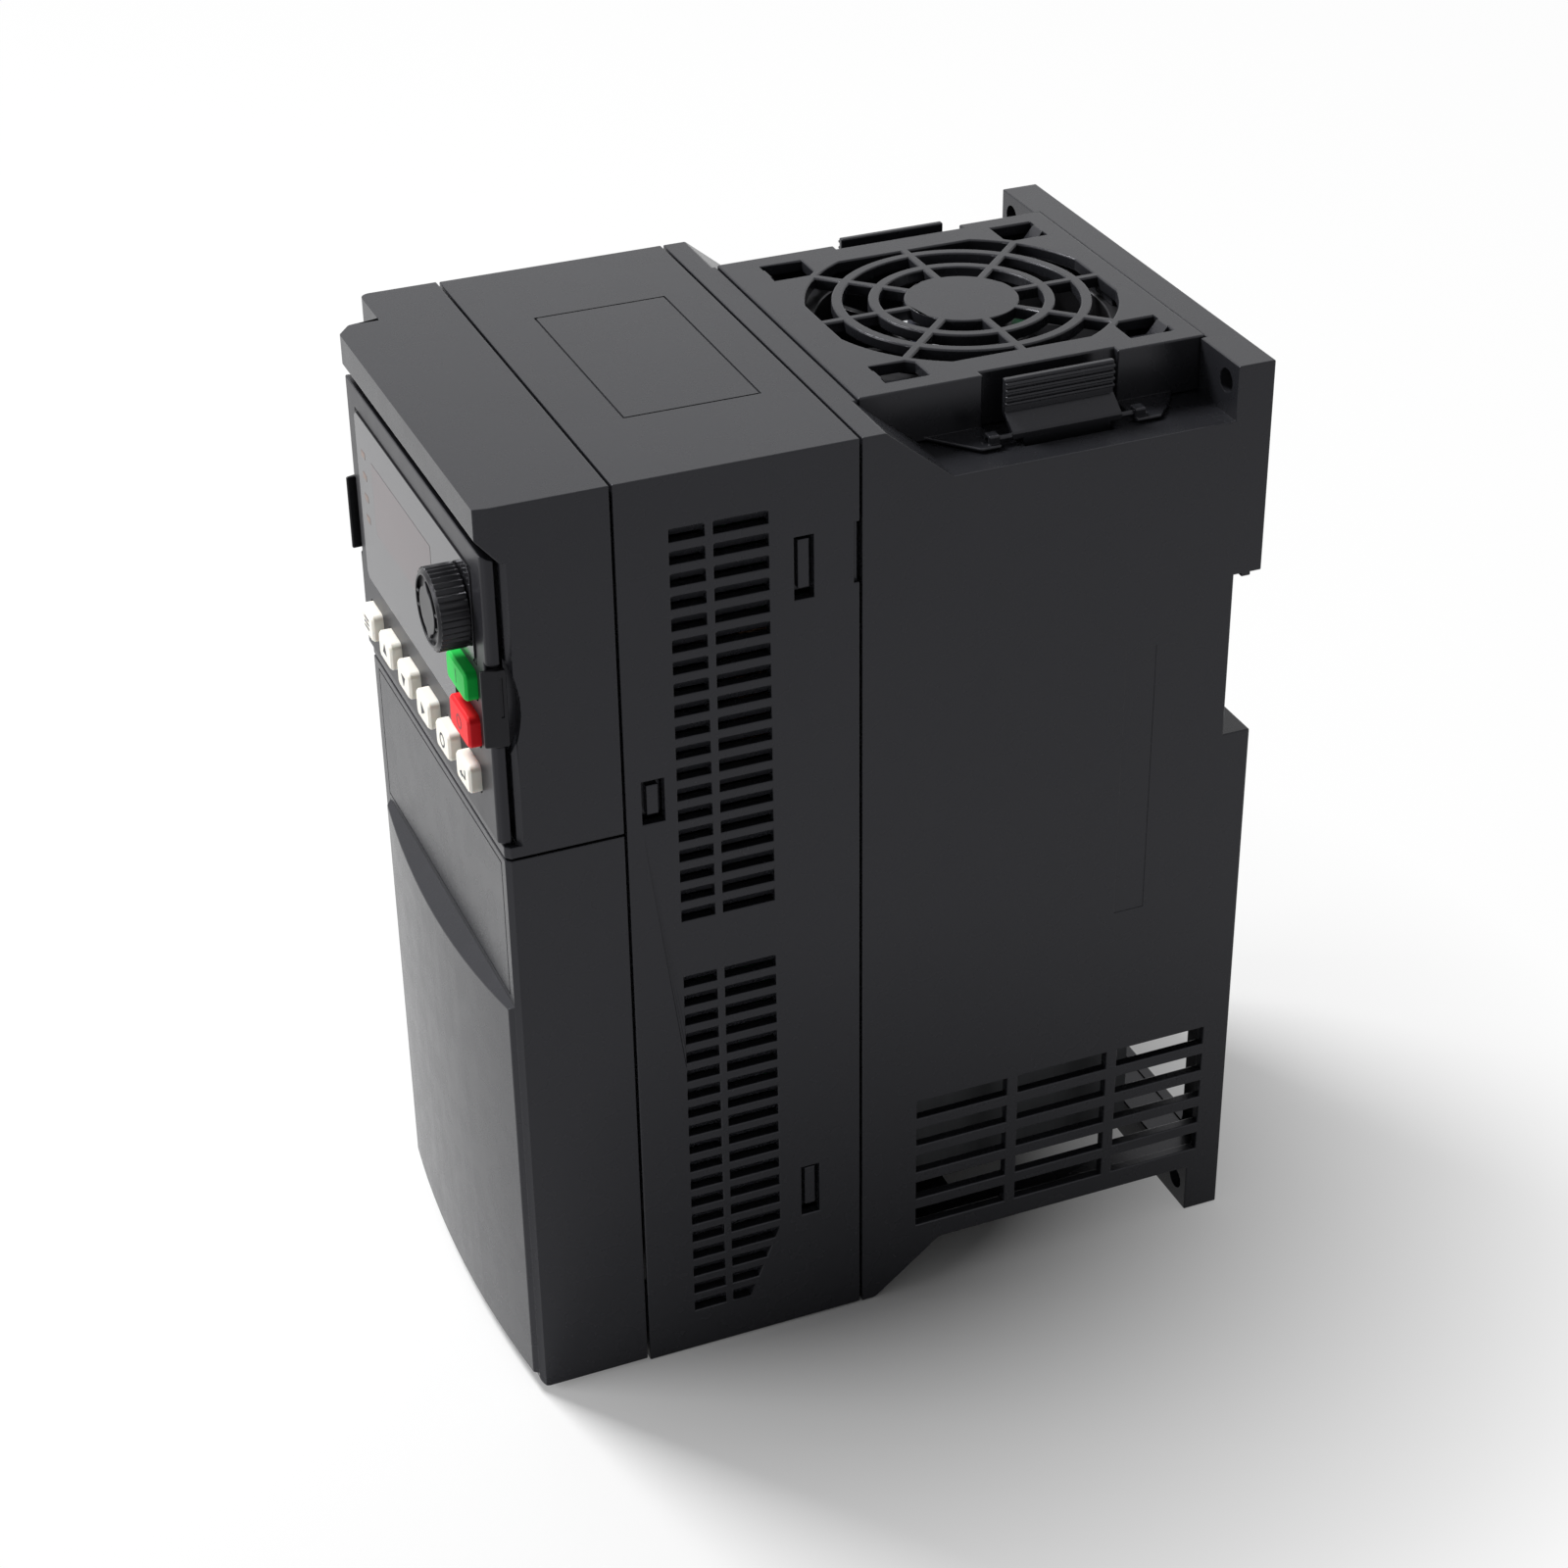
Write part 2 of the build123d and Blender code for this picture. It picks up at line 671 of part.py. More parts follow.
def make_bus_capacitors():
    """Four can capacitors with crimped necks."""
    with BuildPart() as cans:
        with BuildSketch(facing(ahead(board_front))):
            with Locations(*capacitor_places):
                Circle(capacitor_r)
        extrude(amount=capacitor_length)
        with BuildSketch(facing(ahead(board_front + 3))):
            with Locations(*capacitor_places):
                Circle(capacitor_r + 1)
                Circle(capacitor_r - 0.8, mode=Mode.SUBTRACT)
        extrude(amount=1.2, mode=Mode.SUBTRACT)
    return cans


def make_relays():
    """Relays standing on the power board."""
    with BuildPart() as cases:
        with BuildSketch(facing(ahead(board_front))):
            with Locations(*relay_places):
                RectangleRounded(relay_size[0], relay_size[2], 0.8)
        extrude(amount=relay_size[1])
    return cases


def make_transformer():
    """Small supply transformer: laminated core round a taped winding."""
    x, z = transformer_place
    wide, deep, tall = transformer_size
    with BuildPart() as unit:
        block(x - wide / 2, x + wide / 2, ahead(board_front), ahead(board_front + deep),
              z - tall / 3, z + tall / 3)
        block(x - wide / 3, x + wide / 3, ahead(board_front + 2),
              ahead(board_front + deep - 2), z - tall / 2, z + tall / 2)
    return unit


def make_filter_choke():
    """Ring choke lying on the power board."""
    x, z = choke_place
    with BuildPart() as ring:
        with BuildSketch(facing(ahead(board_front))):
            with Locations((x, z)):
                Circle(choke_r)
                Circle(choke_r - 2 * choke_wire_r + 1, mode=Mode.SUBTRACT)
        extrude(amount=2 * choke_wire_r)
    return ring


def terminal_xs(ways, pitch):
    """X positions of a centred row of terminals."""
    return [(i - (ways - 1) / 2) * pitch for i in range(ways)]


def make_power_terminals():
    """Row of power terminals with wire entries from below."""
    span = terminal_ways * terminal_pitch
    mid = terminal_low + terminal_height / 2
    xs = terminal_xs(terminal_ways, terminal_pitch)
    with BuildPart() as row:
        block(-span / 2, span / 2, ahead(board_front), ahead(terminal_reach), terminal_low,
              terminal_low + terminal_height)
        with BuildSketch(facing(ahead(terminal_reach))):
            with Locations(*[(x, mid + 1) for x in xs]):
                Rectangle(2 * screw_head_r + 1, 2 * screw_head_r + 1)
        extrude(amount=-terminal_sink, mode=Mode.SUBTRACT)
        with BuildSketch(Plane.XY.offset(terminal_low)):
            with Locations(*[(x, ahead(terminal_reach - 9)) for x in xs]):
                Rectangle(2 * terminal_hole_r, 2 * terminal_hole_r)
        extrude(amount=8, mode=Mode.SUBTRACT)
        # raised ribs between the ways
        for left in xs[:-1]:
            x = left + terminal_pitch / 2
            block(x - 0.6, x + 0.6, ahead(terminal_reach - 1), ahead(terminal_reach + 2.5),
                  terminal_low, terminal_low + terminal_height)
    return row


def make_control_board():
    """Circuit board behind the covers, with the signal terminals along its foot."""
    with BuildPart() as plate:
        block(-board_half, board_half, ahead(control_reach), ahead(control_reach + board),
              terminal_low + terminal_height + control_board_gap, board_top)
        with BuildSketch(facing(ahead(control_reach))):
            with GridLocations(2 * (board_half - seat_half), 0, 2, 1):
                with Locations(*[(0, z) for z in seat_rises]):
                    Circle(1.6)
        extrude(amount=board, mode=Mode.SUBTRACT)
    return plate


def make_control_terminals():
    """Signal terminals in two steps, with wire entries in front."""
    span = signal_ways * signal_pitch
    front = control_reach + board
    xs = terminal_xs(signal_ways, signal_pitch)
    with BuildPart() as row:
        with BuildSketch(Plane.YZ):
            Polygon((ahead(front), signal_low), (ahead(front + signal_depth), signal_low),
                    (ahead(front + signal_depth), signal_low + 6),
                    (ahead(front + signal_depth - 3), signal_low + signal_height),
                    (ahead(front), signal_low + signal_height), align=None)
        extrude(amount=span / 2, both=True)
        with BuildSketch(facing(ahead(front + signal_depth))):
            with Locations(*[(x, signal_low + 3.1) for x in xs]):
                Rectangle(3.4, 3.6)
        extrude(amount=-5, mode=Mode.SUBTRACT)
    return row


def make_keypad_socket():
    """Header on the control board that the keypad plugs into."""
    x = (keypad_right - keypad_left) / 2
    z = (body_low + body_high) / 2
    front = control_reach + board
    reach = socket_half - socket_wall
    rise = socket_tall - socket_wall
    with BuildPart() as header:
        block(x - socket_half, x + socket_half, ahead(front), ahead(body_back - 1),
              z - socket_tall, z + socket_tall)
        block(x - reach, x + reach, ahead(front + 1.5), ahead(body_back), z - rise, z + rise,
              Mode.SUBTRACT)
    return header


# ---- Middle frame -----------------------------------------------------------------------------

def louvre_rows_z():
    """Slot bottoms of every louvre row, the lower block as tall as the upper one leaves."""
    upper = height - louvre_drop
    room = upper - louvre_break - louvre_height - louvre_low
    rows = int(room / louvre_pitch) + 1
    lower_block = [louvre_low + i * louvre_pitch for i in range(rows)]
    return lower_block + [upper + i * louvre_pitch for i in range(louvre_rows)]


def louvre_cutter(column, clipped):
    """Cutter for one column of sloping louvre pockets in both side walls."""
    front, back = column
    out = half + 0.1
    with BuildPart(mode=Mode.PRIVATE) as cutter:
        with BuildSketch(facing(ahead(back))):
            for z in louvre_rows_z():
                for s in (1, -1):
                    Polygon((s * out, z), (s * out, z + louvre_height),
                            (s * (half - louvre_slope), z + louvre_throat),
                            (s * (wall_in - 0.1), z + louvre_throat),
                            (s * (wall_in - 0.1), z), align=None)
        extrude(amount=front - back)
        if clipped:
            foot, low = louvre_cut_foot
            rise = (foot - back) / louvre_cut_rise
            with BuildSketch(Plane.YZ):
                Polygon((ahead(foot), low - 1), (ahead(foot), low), (ahead(back), low + rise),
                        (ahead(back - 1), low + rise), (ahead(back - 1), low - 1), align=None)
            extrude(amount=width, both=True, mode=Mode.SUBTRACT)
    return cutter.part


def make_mid_frame():
    """Middle frame of the body: a tube with louvred sides, boards' seats and cable opening."""
    y0 = ahead(mid_depth - seam_gap / 2)
    y1 = ahead(seam_gap / 2)
    hook_back = mid_depth - hook_slot_front[0]
    hook_front = mid_depth - hook_slot_front[1]
    with BuildPart() as tube:
        block(-half, half, y0, y1, 0, height)
        block(-wall_in, wall_in, y0 - 1, y1 + 1, wall, height - wall, Mode.SUBTRACT)
        # engraved field on the top
        plate_x, plate_front, plate_back = plate_label
        with BuildSketch(Plane.XY.offset(height)):
            with Locations((0, ahead((plate_front + plate_back) / 2))):
                Rectangle(2 * plate_x, plate_front - plate_back)
                Rectangle(2 * (plate_x - plate_line), plate_front - plate_back - 2 * plate_line,
                          mode=Mode.SUBTRACT)
        extrude(amount=-engrave, mode=Mode.SUBTRACT)
        # louvres
        add(louvre_cutter(louvre_columns[0], False), mode=Mode.SUBTRACT)
        add(louvre_cutter(louvre_columns[1], True), mode=Mode.SUBTRACT)
        # slots for the snap hooks, and the pry notch at the rear seam
        with BuildSketch(Plane.YZ):
            for low, high in hook_slots_z:
                with Locations((ahead(sum(hook_slot_rear) / 2), (low + high) / 2)):
                    Rectangle(hook_slot_rear[0] - hook_slot_rear[1], high - low)
            low, high = hook_slot_front_z
            with Locations((ahead((hook_back + hook_front) / 2), (low + high) / 2)):
                Rectangle(hook_back - hook_front, high - low)
        extrude(amount=width, both=True, mode=Mode.SUBTRACT)
        for s in (1, -1):
            block(s * (half - relief_depth), s * (half + 1), ahead(relief_reach), y1 + 1,
                  height - relief[0], height - relief[1], Mode.SUBTRACT)
            # seats of the control board, and stops in front of the power board
            for z in seat_rises:
                block(s * (board_half - seat_post), s * (wall_in + 0.5), ahead(control_reach),
                      ahead(control_reach - 3), z - seat_half, z + seat_half)
                block(s * (board_half - board_stop), s * (wall_in + 0.5), ahead(board_front),
                      ahead(board_front + 3), z - seat_half, z + seat_half)
            # lips that cover the front seam from inside, below and above the hook's slot
            out = s * (wall_in - fit_gap)
            for low, high in ((lip_low, hook_slot_front_z[0] - 3),
                              (hook_slot_front_z[1] + 3, height - 6)):
                block(out, out - s * lip, ahead(mid_depth + seam_lip), y0 + 3, low, high)
                block(out, out + s * 1.5, y0, y0 + 3, low, high)
        top = height - wall - fit_gap
        block(-half + 8, half - 8, ahead(mid_depth + seam_lip), y0 + 3, top - lip, top)
        block(-half + 8, half - 8, y0, y0 + 3, top - lip, height - 1)
        # opening for the cables
        block(-cable_half, cable_half, ahead(mid_depth - cable_front), ahead(cable_back), -1,
              wall + 1, Mode.SUBTRACT)
    return tube


def make_cable_plate():
    """Plate in the bottom of the body with holes for the cable grommets."""
    reach = cable_half + cable_plate_lap
    with BuildPart() as plate:
        block(-reach, reach, ahead(mid_depth - cable_front + cable_plate_lap),
              ahead(cable_back - cable_plate_lap), wall, wall + cable_plate)
        with BuildSketch(Plane.XY.offset(wall)):
            with Locations(*[(x, ahead(cable_mid)) for x in cable_hole_xs]):
                Circle(cable_hole_r)
        extrude(amount=cable_plate, mode=Mode.SUBTRACT)
    return plate


def make_cable_grommets():
    """Rubber grommets seated in the cable plate, open for the wires."""
    mid = ahead(cable_mid)
    bore = cable_hole_r - grommet_wall
    neck = cable_hole_r - 0.05
    rim = cable_hole_r + 1.2
    low = wall - grommet_lip
    seat = wall + cable_plate + 0.05
    high = wall + cable_plate + grommet_lip
    with BuildPart() as rings:
        for x in cable_hole_xs:
            with BuildSketch(Plane.XZ.offset(-mid)):
                with Locations((x, 0)):
                    Polygon((bore, low), (neck, low), (neck, seat), (rim, seat), (rim, high),
                            (bore, high), align=None)
            revolve(axis=Axis((x, mid, 0), (0, 0, 1)))
    return rings


# ---- Front covers --------------------------------------------------------------------------------

def nose_outline(reach, inset=0.0):
    """Plan of the front covers: a nose on the right and a set-back ear on the left."""
    i = inset
    left = -nose_left
    return [
        (half - i, ahead(mid_depth + seam_gap / 2) + i),
        (half - i, ahead(reach - nose_right_cut) + i),
        (half - nose_right_cut - i * 0.6, ahead(reach) + i),
        (left + 1.0 + i * 0.6, ahead(reach) + i),
        (left + i, ahead(reach - nose_right_cut) + i),
        (left + i, ahead(ear_reach) + i),
        (-half + i, ahead(ear_reach) + i),
        (-half + i, ahead(mid_depth + seam_gap / 2) + i),
    ]


def brow_outline():
    """Plan of the brow: the nose carried further forward, with a wider left chamfer."""
    return [
        (half, ahead(recess_reach - 1)),
        (half, ahead(brow_reach - nose_left_cut_y)),
        (half - 0.5, ahead(brow_reach)),
        (-nose_left + nose_left_cut_x + 0.8, ahead(brow_reach)),
        (-nose_left + 0.2, ahead(brow_reach - nose_left_cut_y)),
        (-nose_left - 0.9, ahead(ear_reach)),
        (-nose_left, ahead(recess_reach - 1)),
    ]


def ear_corner_fillet(sketch):
    """Round the ear's outer corner in a plan of the front covers."""
    corner = sketch.vertices().filter_by(
        lambda v: abs(v.X + half) < 0.01 and abs(v.Y - ahead(ear_reach)) < 0.01)
    fillet(corner, radius=ear_round)


def make_upper_cover():
    """Upper front cover with the brow, the keypad's opening and the finger arcs."""
    low = cover_split + seam_gap / 2
    back = ahead(mid_depth + seam_gap / 2)
    brow_back = height - brow_low_back
    finger_low = keypad_low + finger_rises[0]
    finger_high = keypad_low + finger_rises[1]
    with BuildPart() as cover:
        with BuildSketch(Plane.XY.offset(low)) as plan:
            Polygon(*nose_outline(recess_reach), align=None)
            ear_corner_fillet(plan)
        extrude(amount=height - low)
        # sill below the keypad, and the brow above it with its sloping underside
        with BuildSketch(Plane.XY.offset(low)):
            Polygon(*nose_outline(cover_reach), align=None)
        extrude(amount=sill_top - low)
        with BuildPart(mode=Mode.PRIVATE) as brow:
            with BuildSketch(Plane.XY.offset(brow_back)):
                Polygon(*brow_outline(), align=None)
            extrude(amount=brow_low_back)
            with BuildSketch(Plane.YZ):
                Polygon((ahead(recess_reach), brow_back - 1),
                        (ahead(recess_reach), brow_back),
                        (ahead(brow_reach), height - brow_low_front),
                        (ahead(brow_reach + 1), height - brow_low_front),
                        (ahead(brow_reach + 1), brow_back - 1), align=None)
            extrude(amount=width, both=True, mode=Mode.SUBTRACT)
        add(brow.part)
        # hollow inside, open at the back and at the foot
        with BuildSketch(Plane.XY.offset(low - 1)):
            Polygon(*nose_outline(recess_reach, wall), align=None)
        extrude(amount=height - wall - low + 1, mode=Mode.SUBTRACT)
        block(-wall_in, wall_in, back - 1 - wall, back + 1, low - 1, height - wall,
              Mode.SUBTRACT)
        # opening for the keypad's body
        block(-keypad_left - fit_gap, keypad_right + fit_gap, ahead(recess_reach + 1),
              ahead(recess_reach - wall - 1), body_low - fit_gap, body_high + fit_gap,
              Mode.SUBTRACT)
        # finger arcs beside the keypad's clips
        for s, outer in ((1, half), (-1, nose_left)):
            with BuildSketch(Plane.YZ.offset(s * (outer - wall - 0.5))):
                with BuildLine():
                    ThreePointArc((ahead(recess_reach), finger_low),
                                  (ahead(recess_reach - finger_depth),
                                   (finger_low + finger_high) / 2),
                                  (ahead(recess_reach), finger_high))
                    Polyline((ahead(recess_reach), finger_high),
                             (ahead(recess_reach + 1), finger_high),
                             (ahead(recess_reach + 1), finger_low),
                             (ahead(recess_reach), finger_low))
                make_face()
            extrude(amount=s * (wall + 1), mode=Mode.SUBTRACT)
        # hooks that snap into the middle frame
        arm_out = wall_in - fit_gap / 2
        arm_back = ahead(mid_depth - hook_slot_front[1])
        tip = arm_back - hook_inset
        z0 = hook_slot_front_z[0] + hook_inset
        z1 = hook_slot_front_z[1] - hook_inset
        for s in (1, -1):
            block(s * (arm_out - hook_arm), s * arm_out, ahead(mid_depth + 6), arm_back, z0, z1)
            block(s * (arm_out - hook_arm), s * (arm_out + 1), ahead(mid_depth + 6),
                  ahead(mid_depth + seam_gap), z0, z1)
            block(s * arm_out, s * (arm_out + hook_barb), tip - 2.4, tip, z0 + 0.5, z1 - 0.5)
    return cover


def panel_plan(inset=0.0):
    """Plan of the crowned panel on the lower cover, as a face on the ground plane."""
    left = panel_left - nose_left + inset
    right = half - panel_right - inset
    rim = ahead(cover_reach + panel_rim) + inset
    foot = ahead(cover_reach) + inset + 0.2
    with BuildSketch() as plan:
        with BuildLine():
            ThreePointArc((left, rim), ((half - panel_right + panel_left - nose_left) / 2,
                                        rim - panel_crown), (right, rim))
            Polyline((right, rim), (right + panel_rim, foot), (left - panel_rim, foot),
                     (left, rim))
        make_face()
    return plan.sketch


def panel_wedge():
    """Face that cuts the sloping top of the crowned panel, on the side plane."""
    deep = panel_crown + 2
    y = ahead(cover_reach)
    with BuildSketch(Plane.YZ) as wedge:
        Polygon((y + 4, panel_slope_z + 4 * panel_slope),
                (y - deep, panel_slope_z - deep * panel_slope),
                (y - deep, panel_slope_z + 6), (y + 4, panel_slope_z + 6), align=None)
    return wedge.sketch


def make_lower_cover():
    """Lower front cover with the label field and the crowned panel."""
    high = cover_split - seam_gap / 2
    field_left = label_left - nose_left
    field_right = half - label_right
    field_low = panel_slope_z + label_low
    field_high = cover_split - label_high
    field_width = field_right - field_left
    field_tall = field_high - field_low
    with BuildPart() as cover:
        with BuildSketch(Plane.XY.offset(cover_low)) as plan:
            Polygon(*nose_outline(cover_reach), align=None)
            ear_corner_fillet(plan)
        extrude(amount=high - cover_low)
        corners = cover.edges().filter_by(Axis.X).group_by(Axis.Z)[0].filter_by(
            lambda e: e.center().Y < ahead(ear_reach - 2))
        fillet(corners, radius=cover_bottom_round)
        # the crowned panel, its top cut to a slope
        with BuildPart(mode=Mode.PRIVATE) as panel:
            extrude(panel_plan(), amount=panel_slope_z + 2)
            extrude(panel_wedge(), amount=width, both=True, mode=Mode.SUBTRACT)
            block(-half, half, ahead(cover_reach + 8), ahead(0), -1, panel_low, Mode.SUBTRACT)
        add(panel.part)
        # hollow inside, open at the back and towards the upper cover
        with BuildSketch(Plane.XY.offset(cover_low + wall)):
            Polygon(*nose_outline(cover_reach, wall), align=None)
        extrude(amount=high, mode=Mode.SUBTRACT)
        block(-wall_in, wall_in, ahead(mid_depth + wall + 2), ahead(mid_depth - 1),
              cover_low + wall, high + 1, Mode.SUBTRACT)
        with BuildPart(mode=Mode.PRIVATE) as core:
            extrude(panel_plan(wall), amount=panel_slope_z - wall)
            block(-half, half, ahead(cover_reach + 8), ahead(0), -1, panel_low + wall,
                  Mode.SUBTRACT)
        add(core.part, mode=Mode.SUBTRACT)
        # outline of the bare label field
        with BuildSketch(facing(ahead(cover_reach))):
            with Locations(((field_left + field_right) / 2, (field_low + field_high) / 2)):
                Rectangle(field_width, field_tall)
                Rectangle(field_width - 2 * label_line, field_tall - 2 * label_line,
                          mode=Mode.SUBTRACT)
        extrude(amount=-engrave, mode=Mode.SUBTRACT)
        # wire way: open slots in the foot for the cables
        for x in cable_hole_xs:
            block(x - cable_hole_r, x + cable_hole_r, ahead(mid_depth + 9),
                  ahead(mid_depth - 1), cover_low - 1, cover_low + wall + 1, Mode.SUBTRACT)
        # guide tongues that run inside the middle frame
        out = wall_in - fit_gap
        for s in (1, -1):
            for z in guide_lows:
                block(s * (out - guide), s * out, ahead(mid_depth + 5), ahead(mid_depth - 4),
                      z, z + guide_tall)
                block(s * (out - guide), s * (out + 1), ahead(mid_depth + 5),
                      ahead(mid_depth + seam_gap), z, z + guide_tall)
    return cover


# ---- Keypad -------------------------------------------------------------------------------------

def white_keys():
    """Places of the row of white keys: X and Z."""
    first = key_first - key_case_left
    return [(first + i * key_pitch, key_row_z) for i in range(white_key_count)]


def key_sizes():
    """Every key's place and size: X, Z, width, height."""
    keys = [(x, z, key_width, key_height) for x, z in white_keys()]
    keys.append((wide_key_x, run_key_z, wide_key_width, run_key_height))
    keys.append((wide_key_x, stop_key_z, wide_key_width, stop_key_height))
    return keys


def make_keypad_case():
    """Front shell of the keypad: a rim over the cover and a body that sits inside it."""
    with BuildPart() as case:
        with BuildSketch(Plane.YZ.offset(-key_case_left)):
            Polygon((ahead(key_case_skirt), keypad_low), (ahead(key_case_reach), keypad_low),
                    (ahead(key_case_reach), keypad_high),
                    (ahead(key_case_skirt), keypad_high - key_case_top_slant), align=None)
        extrude(amount=key_case_left + key_case_right)
        edges = case.faces().sort_by(Axis.Y)[0].edges().filter_by(Axis.Z)
        chamfer(edges, length=key_case_cut)
        # body behind the rim
        block(-keypad_left, keypad_right, ahead(key_case_skirt + 0.1), ahead(body_back + board),
              body_low, body_high)
        block(-keypad_left + body_wall, keypad_right - body_wall, ahead(key_case_skirt),
              ahead(body_back - 1), body_low + body_wall, body_high - body_wall, Mode.SUBTRACT)
        # openings for the keys, the display and the knob's shaft
        with BuildSketch(facing(ahead(key_case_skirt - 1))):
            for x, z, wide, tall in key_sizes():
                with Locations((x, z)):
                    RectangleRounded(wide + 2 * key_gap, tall + 2 * key_gap, key_round)
            with Locations(((window_right - window_left) / 2, (window_low + window_high) / 2)):
                Rectangle(window_right + window_left, window_high - window_low)
            with Locations((knob_x, knob_z)):
                Circle(pot_shaft_r + pot_neck + fit_gap)
        extrude(amount=key_case_reach, mode=Mode.SUBTRACT)
        # notches for the clips, and the pockets their stems slide in
        for s, outer in ((1, key_case_right), (-1, key_case_left)):
            notch = outer - clip_notch
            block(s * notch, s * (outer + 2), ahead(key_case_reach + 1),
                  ahead(key_case_skirt - 0.2), clip_low - 0.4, clip_high + 0.4,
                  Mode.SUBTRACT)
            block(s * (notch - clip_stem - 0.3), s * (notch + 1), ahead(stem_front + 0.3),
                  ahead(key_case_skirt - 0.3), stem_low - 0.3, stem_high + 0.3,
                  Mode.SUBTRACT)
    return case


def make_keypad_clip(side):
    """Push clip in the keypad's side: side is 1 on the right and -1 on the left."""
    if side > 0:
        outer = half
        rim = key_case_right
    else:
        outer = nose_left + key_case_gap_right + key_case_gap_left
        rim = key_case_left
    inner = outer - keypad_clip_t
    notch = rim - clip_notch
    clip_back = key_case_skirt - keypad_clip_back
    with BuildPart() as clip:
        with BuildSketch(Plane.XY.offset(clip_low)) as plan:
            Polygon((side * inner, ahead(clip_back)), (side * outer, ahead(clip_back)),
                    (side * outer, ahead(clip_reach - 2.8)),
                    (side * (outer - 0.8), ahead(clip_reach)),
                    (side * (inner - 0.2), ahead(clip_reach)), align=None)
        extrude(amount=clip_high - clip_low)
        # finger groove along the side
        block(side * (outer - 0.3), side * (outer + 1), ahead(clip_reach - 3.2),
              ahead(clip_reach - 3.7), clip_low + 6, clip_high - 1.5,
              Mode.SUBTRACT)
        block(side * (notch - clip_stem + keypad_clip_travel), side * (inner + 0.3),
              ahead(stem_front), ahead(key_case_skirt), stem_low, stem_high)
    return clip


def make_keypad_back():
    """Rear plate of the keypad."""
    with BuildPart() as plate:
        block(-keypad_left, keypad_right, ahead(body_back + board), ahead(body_back), body_low,
              body_high)
        block(-keypad_left + body_wall + 0.2, keypad_right - body_wall - 0.2,
              ahead(board_reach - board), ahead(body_back + board - 0.1),
              body_low + body_wall + 0.2, body_high - body_wall - 0.2)
        block(-keypad_left + 2 * body_wall, keypad_right - 2 * body_wall,
              ahead(board_reach), ahead(body_back + board), body_low + 2 * body_wall,
              body_high - 2 * body_wall, Mode.SUBTRACT)
    return plate


def make_keypad_plug():
    """Plug on the keypad's back that enters the socket on the control board."""
    x = (keypad_right - keypad_left) / 2
    z = (body_low + body_high) / 2
    reach = socket_half - socket_wall - fit_gap
    rise = socket_tall - socket_wall - fit_gap
    with BuildPart() as plug:
        block(x - reach, x + reach, ahead(body_back), ahead(control_reach + board + 2),
              z - rise, z + rise)
        with BuildSketch(facing(ahead(control_reach + board + 2))):
            with Locations((x, z)):
                with GridLocations(2.54, 2.54, 9, 2):
                    Rectangle(1, 1)
        extrude(amount=4, mode=Mode.SUBTRACT)
    return plug


def make_keypad_board():
    """Circuit board inside the keypad."""
    with BuildPart() as plate:
        block(-keypad_left + body_wall + 0.2, keypad_right - body_wall - 0.2, ahead(board_reach),
              ahead(board_reach - board), body_low + body_wall + 0.2,
              body_high - body_wall - 0.2)
    return plate


def make_key_mat():
    """Rubber mat that springs the keys back."""
    with BuildPart() as mat:
        block(-keypad_left + body_wall + 1, keypad_right - body_wall - 0.5, ahead(board_reach),
              ahead(board_reach + key_mat), key_row_z - 5, key_row_z + 4.5)
        block(wide_key_x - 7, keypad_right - body_wall - 0.5, ahead(board_reach),
              ahead(board_reach + key_mat), key_row_z + 4, run_key_z + 4)
    return mat


def make_display_module():
    """Four-digit display block in the keypad's window."""
    mid_x = (window_right - window_left) / 2
    mid_z = (window_low + window_high) / 2
    digit_pitch = window_width / digit_count
    with BuildPart() as unit:
        block(-window_left + 0.2, window_right - 0.2, ahead(board_reach),
              ahead(key_case_reach - 0.4), window_low + 0.2, window_high - 0.2)
        with BuildSketch(facing(ahead(key_case_reach - 0.4))):
            with Locations((mid_x, mid_z)):
                with GridLocations(digit_pitch, 0, digit_count, 1):
                    with GridLocations(0, 6.2, 1, 3):
                        Rectangle(3.6, 0.9)
                    with GridLocations(4.8, 6.2, 2, 2):
                        Rectangle(0.9, 4.6)
        extrude(amount=-0.2, mode=Mode.SUBTRACT)
    return unit


def make_overlay():
    """Printed film over the keypad's front, stepped round the coloured keys."""
    left = overlay_inset - key_case_left
    right = key_case_right - overlay_inset
    step_x = key_case_right - overlay_notch_x
    step_z = keypad_low + overlay_notch_rise
    low = keypad_low + overlay_rises[0]
    high = keypad_low + overlay_rises[1]
    with BuildPart() as film:
        with BuildSketch(facing(ahead(key_case_reach))) as outline:
            Polygon((left, low), (step_x, low), (step_x, step_z), (right, step_z),
                    (right, high), (left, high), align=None)
            chamfer(outline.vertices(), length=overlay_round)
            with Locations((knob_x, knob_z)):
                Circle(pot_shaft_r + pot_neck + fit_gap, mode=Mode.SUBTRACT)
        extrude(amount=overlay)
    return film


def make_potentiometer():
    """Potentiometer on the keypad's board, with a threaded neck round the knob's shaft."""
    with BuildPart() as pot:
        with BuildSketch(facing(ahead(board_reach))):
            with Locations((knob_x, knob_z)):
                Circle(pot_r)
        extrude(amount=key_case_skirt - board_reach - 0.3)
        with BuildSketch(facing(ahead(board_reach))):
            with Locations((knob_x, knob_z)):
                Circle(pot_shaft_r + pot_neck)
        extrude(amount=key_case_reach - board_reach)
        with BuildSketch(facing(ahead(board_reach + 0.6))):
            with Locations((knob_x, knob_z)):
                Circle(pot_shaft_r + running_gap)
        extrude(amount=key_case_reach, mode=Mode.SUBTRACT)
    return pot


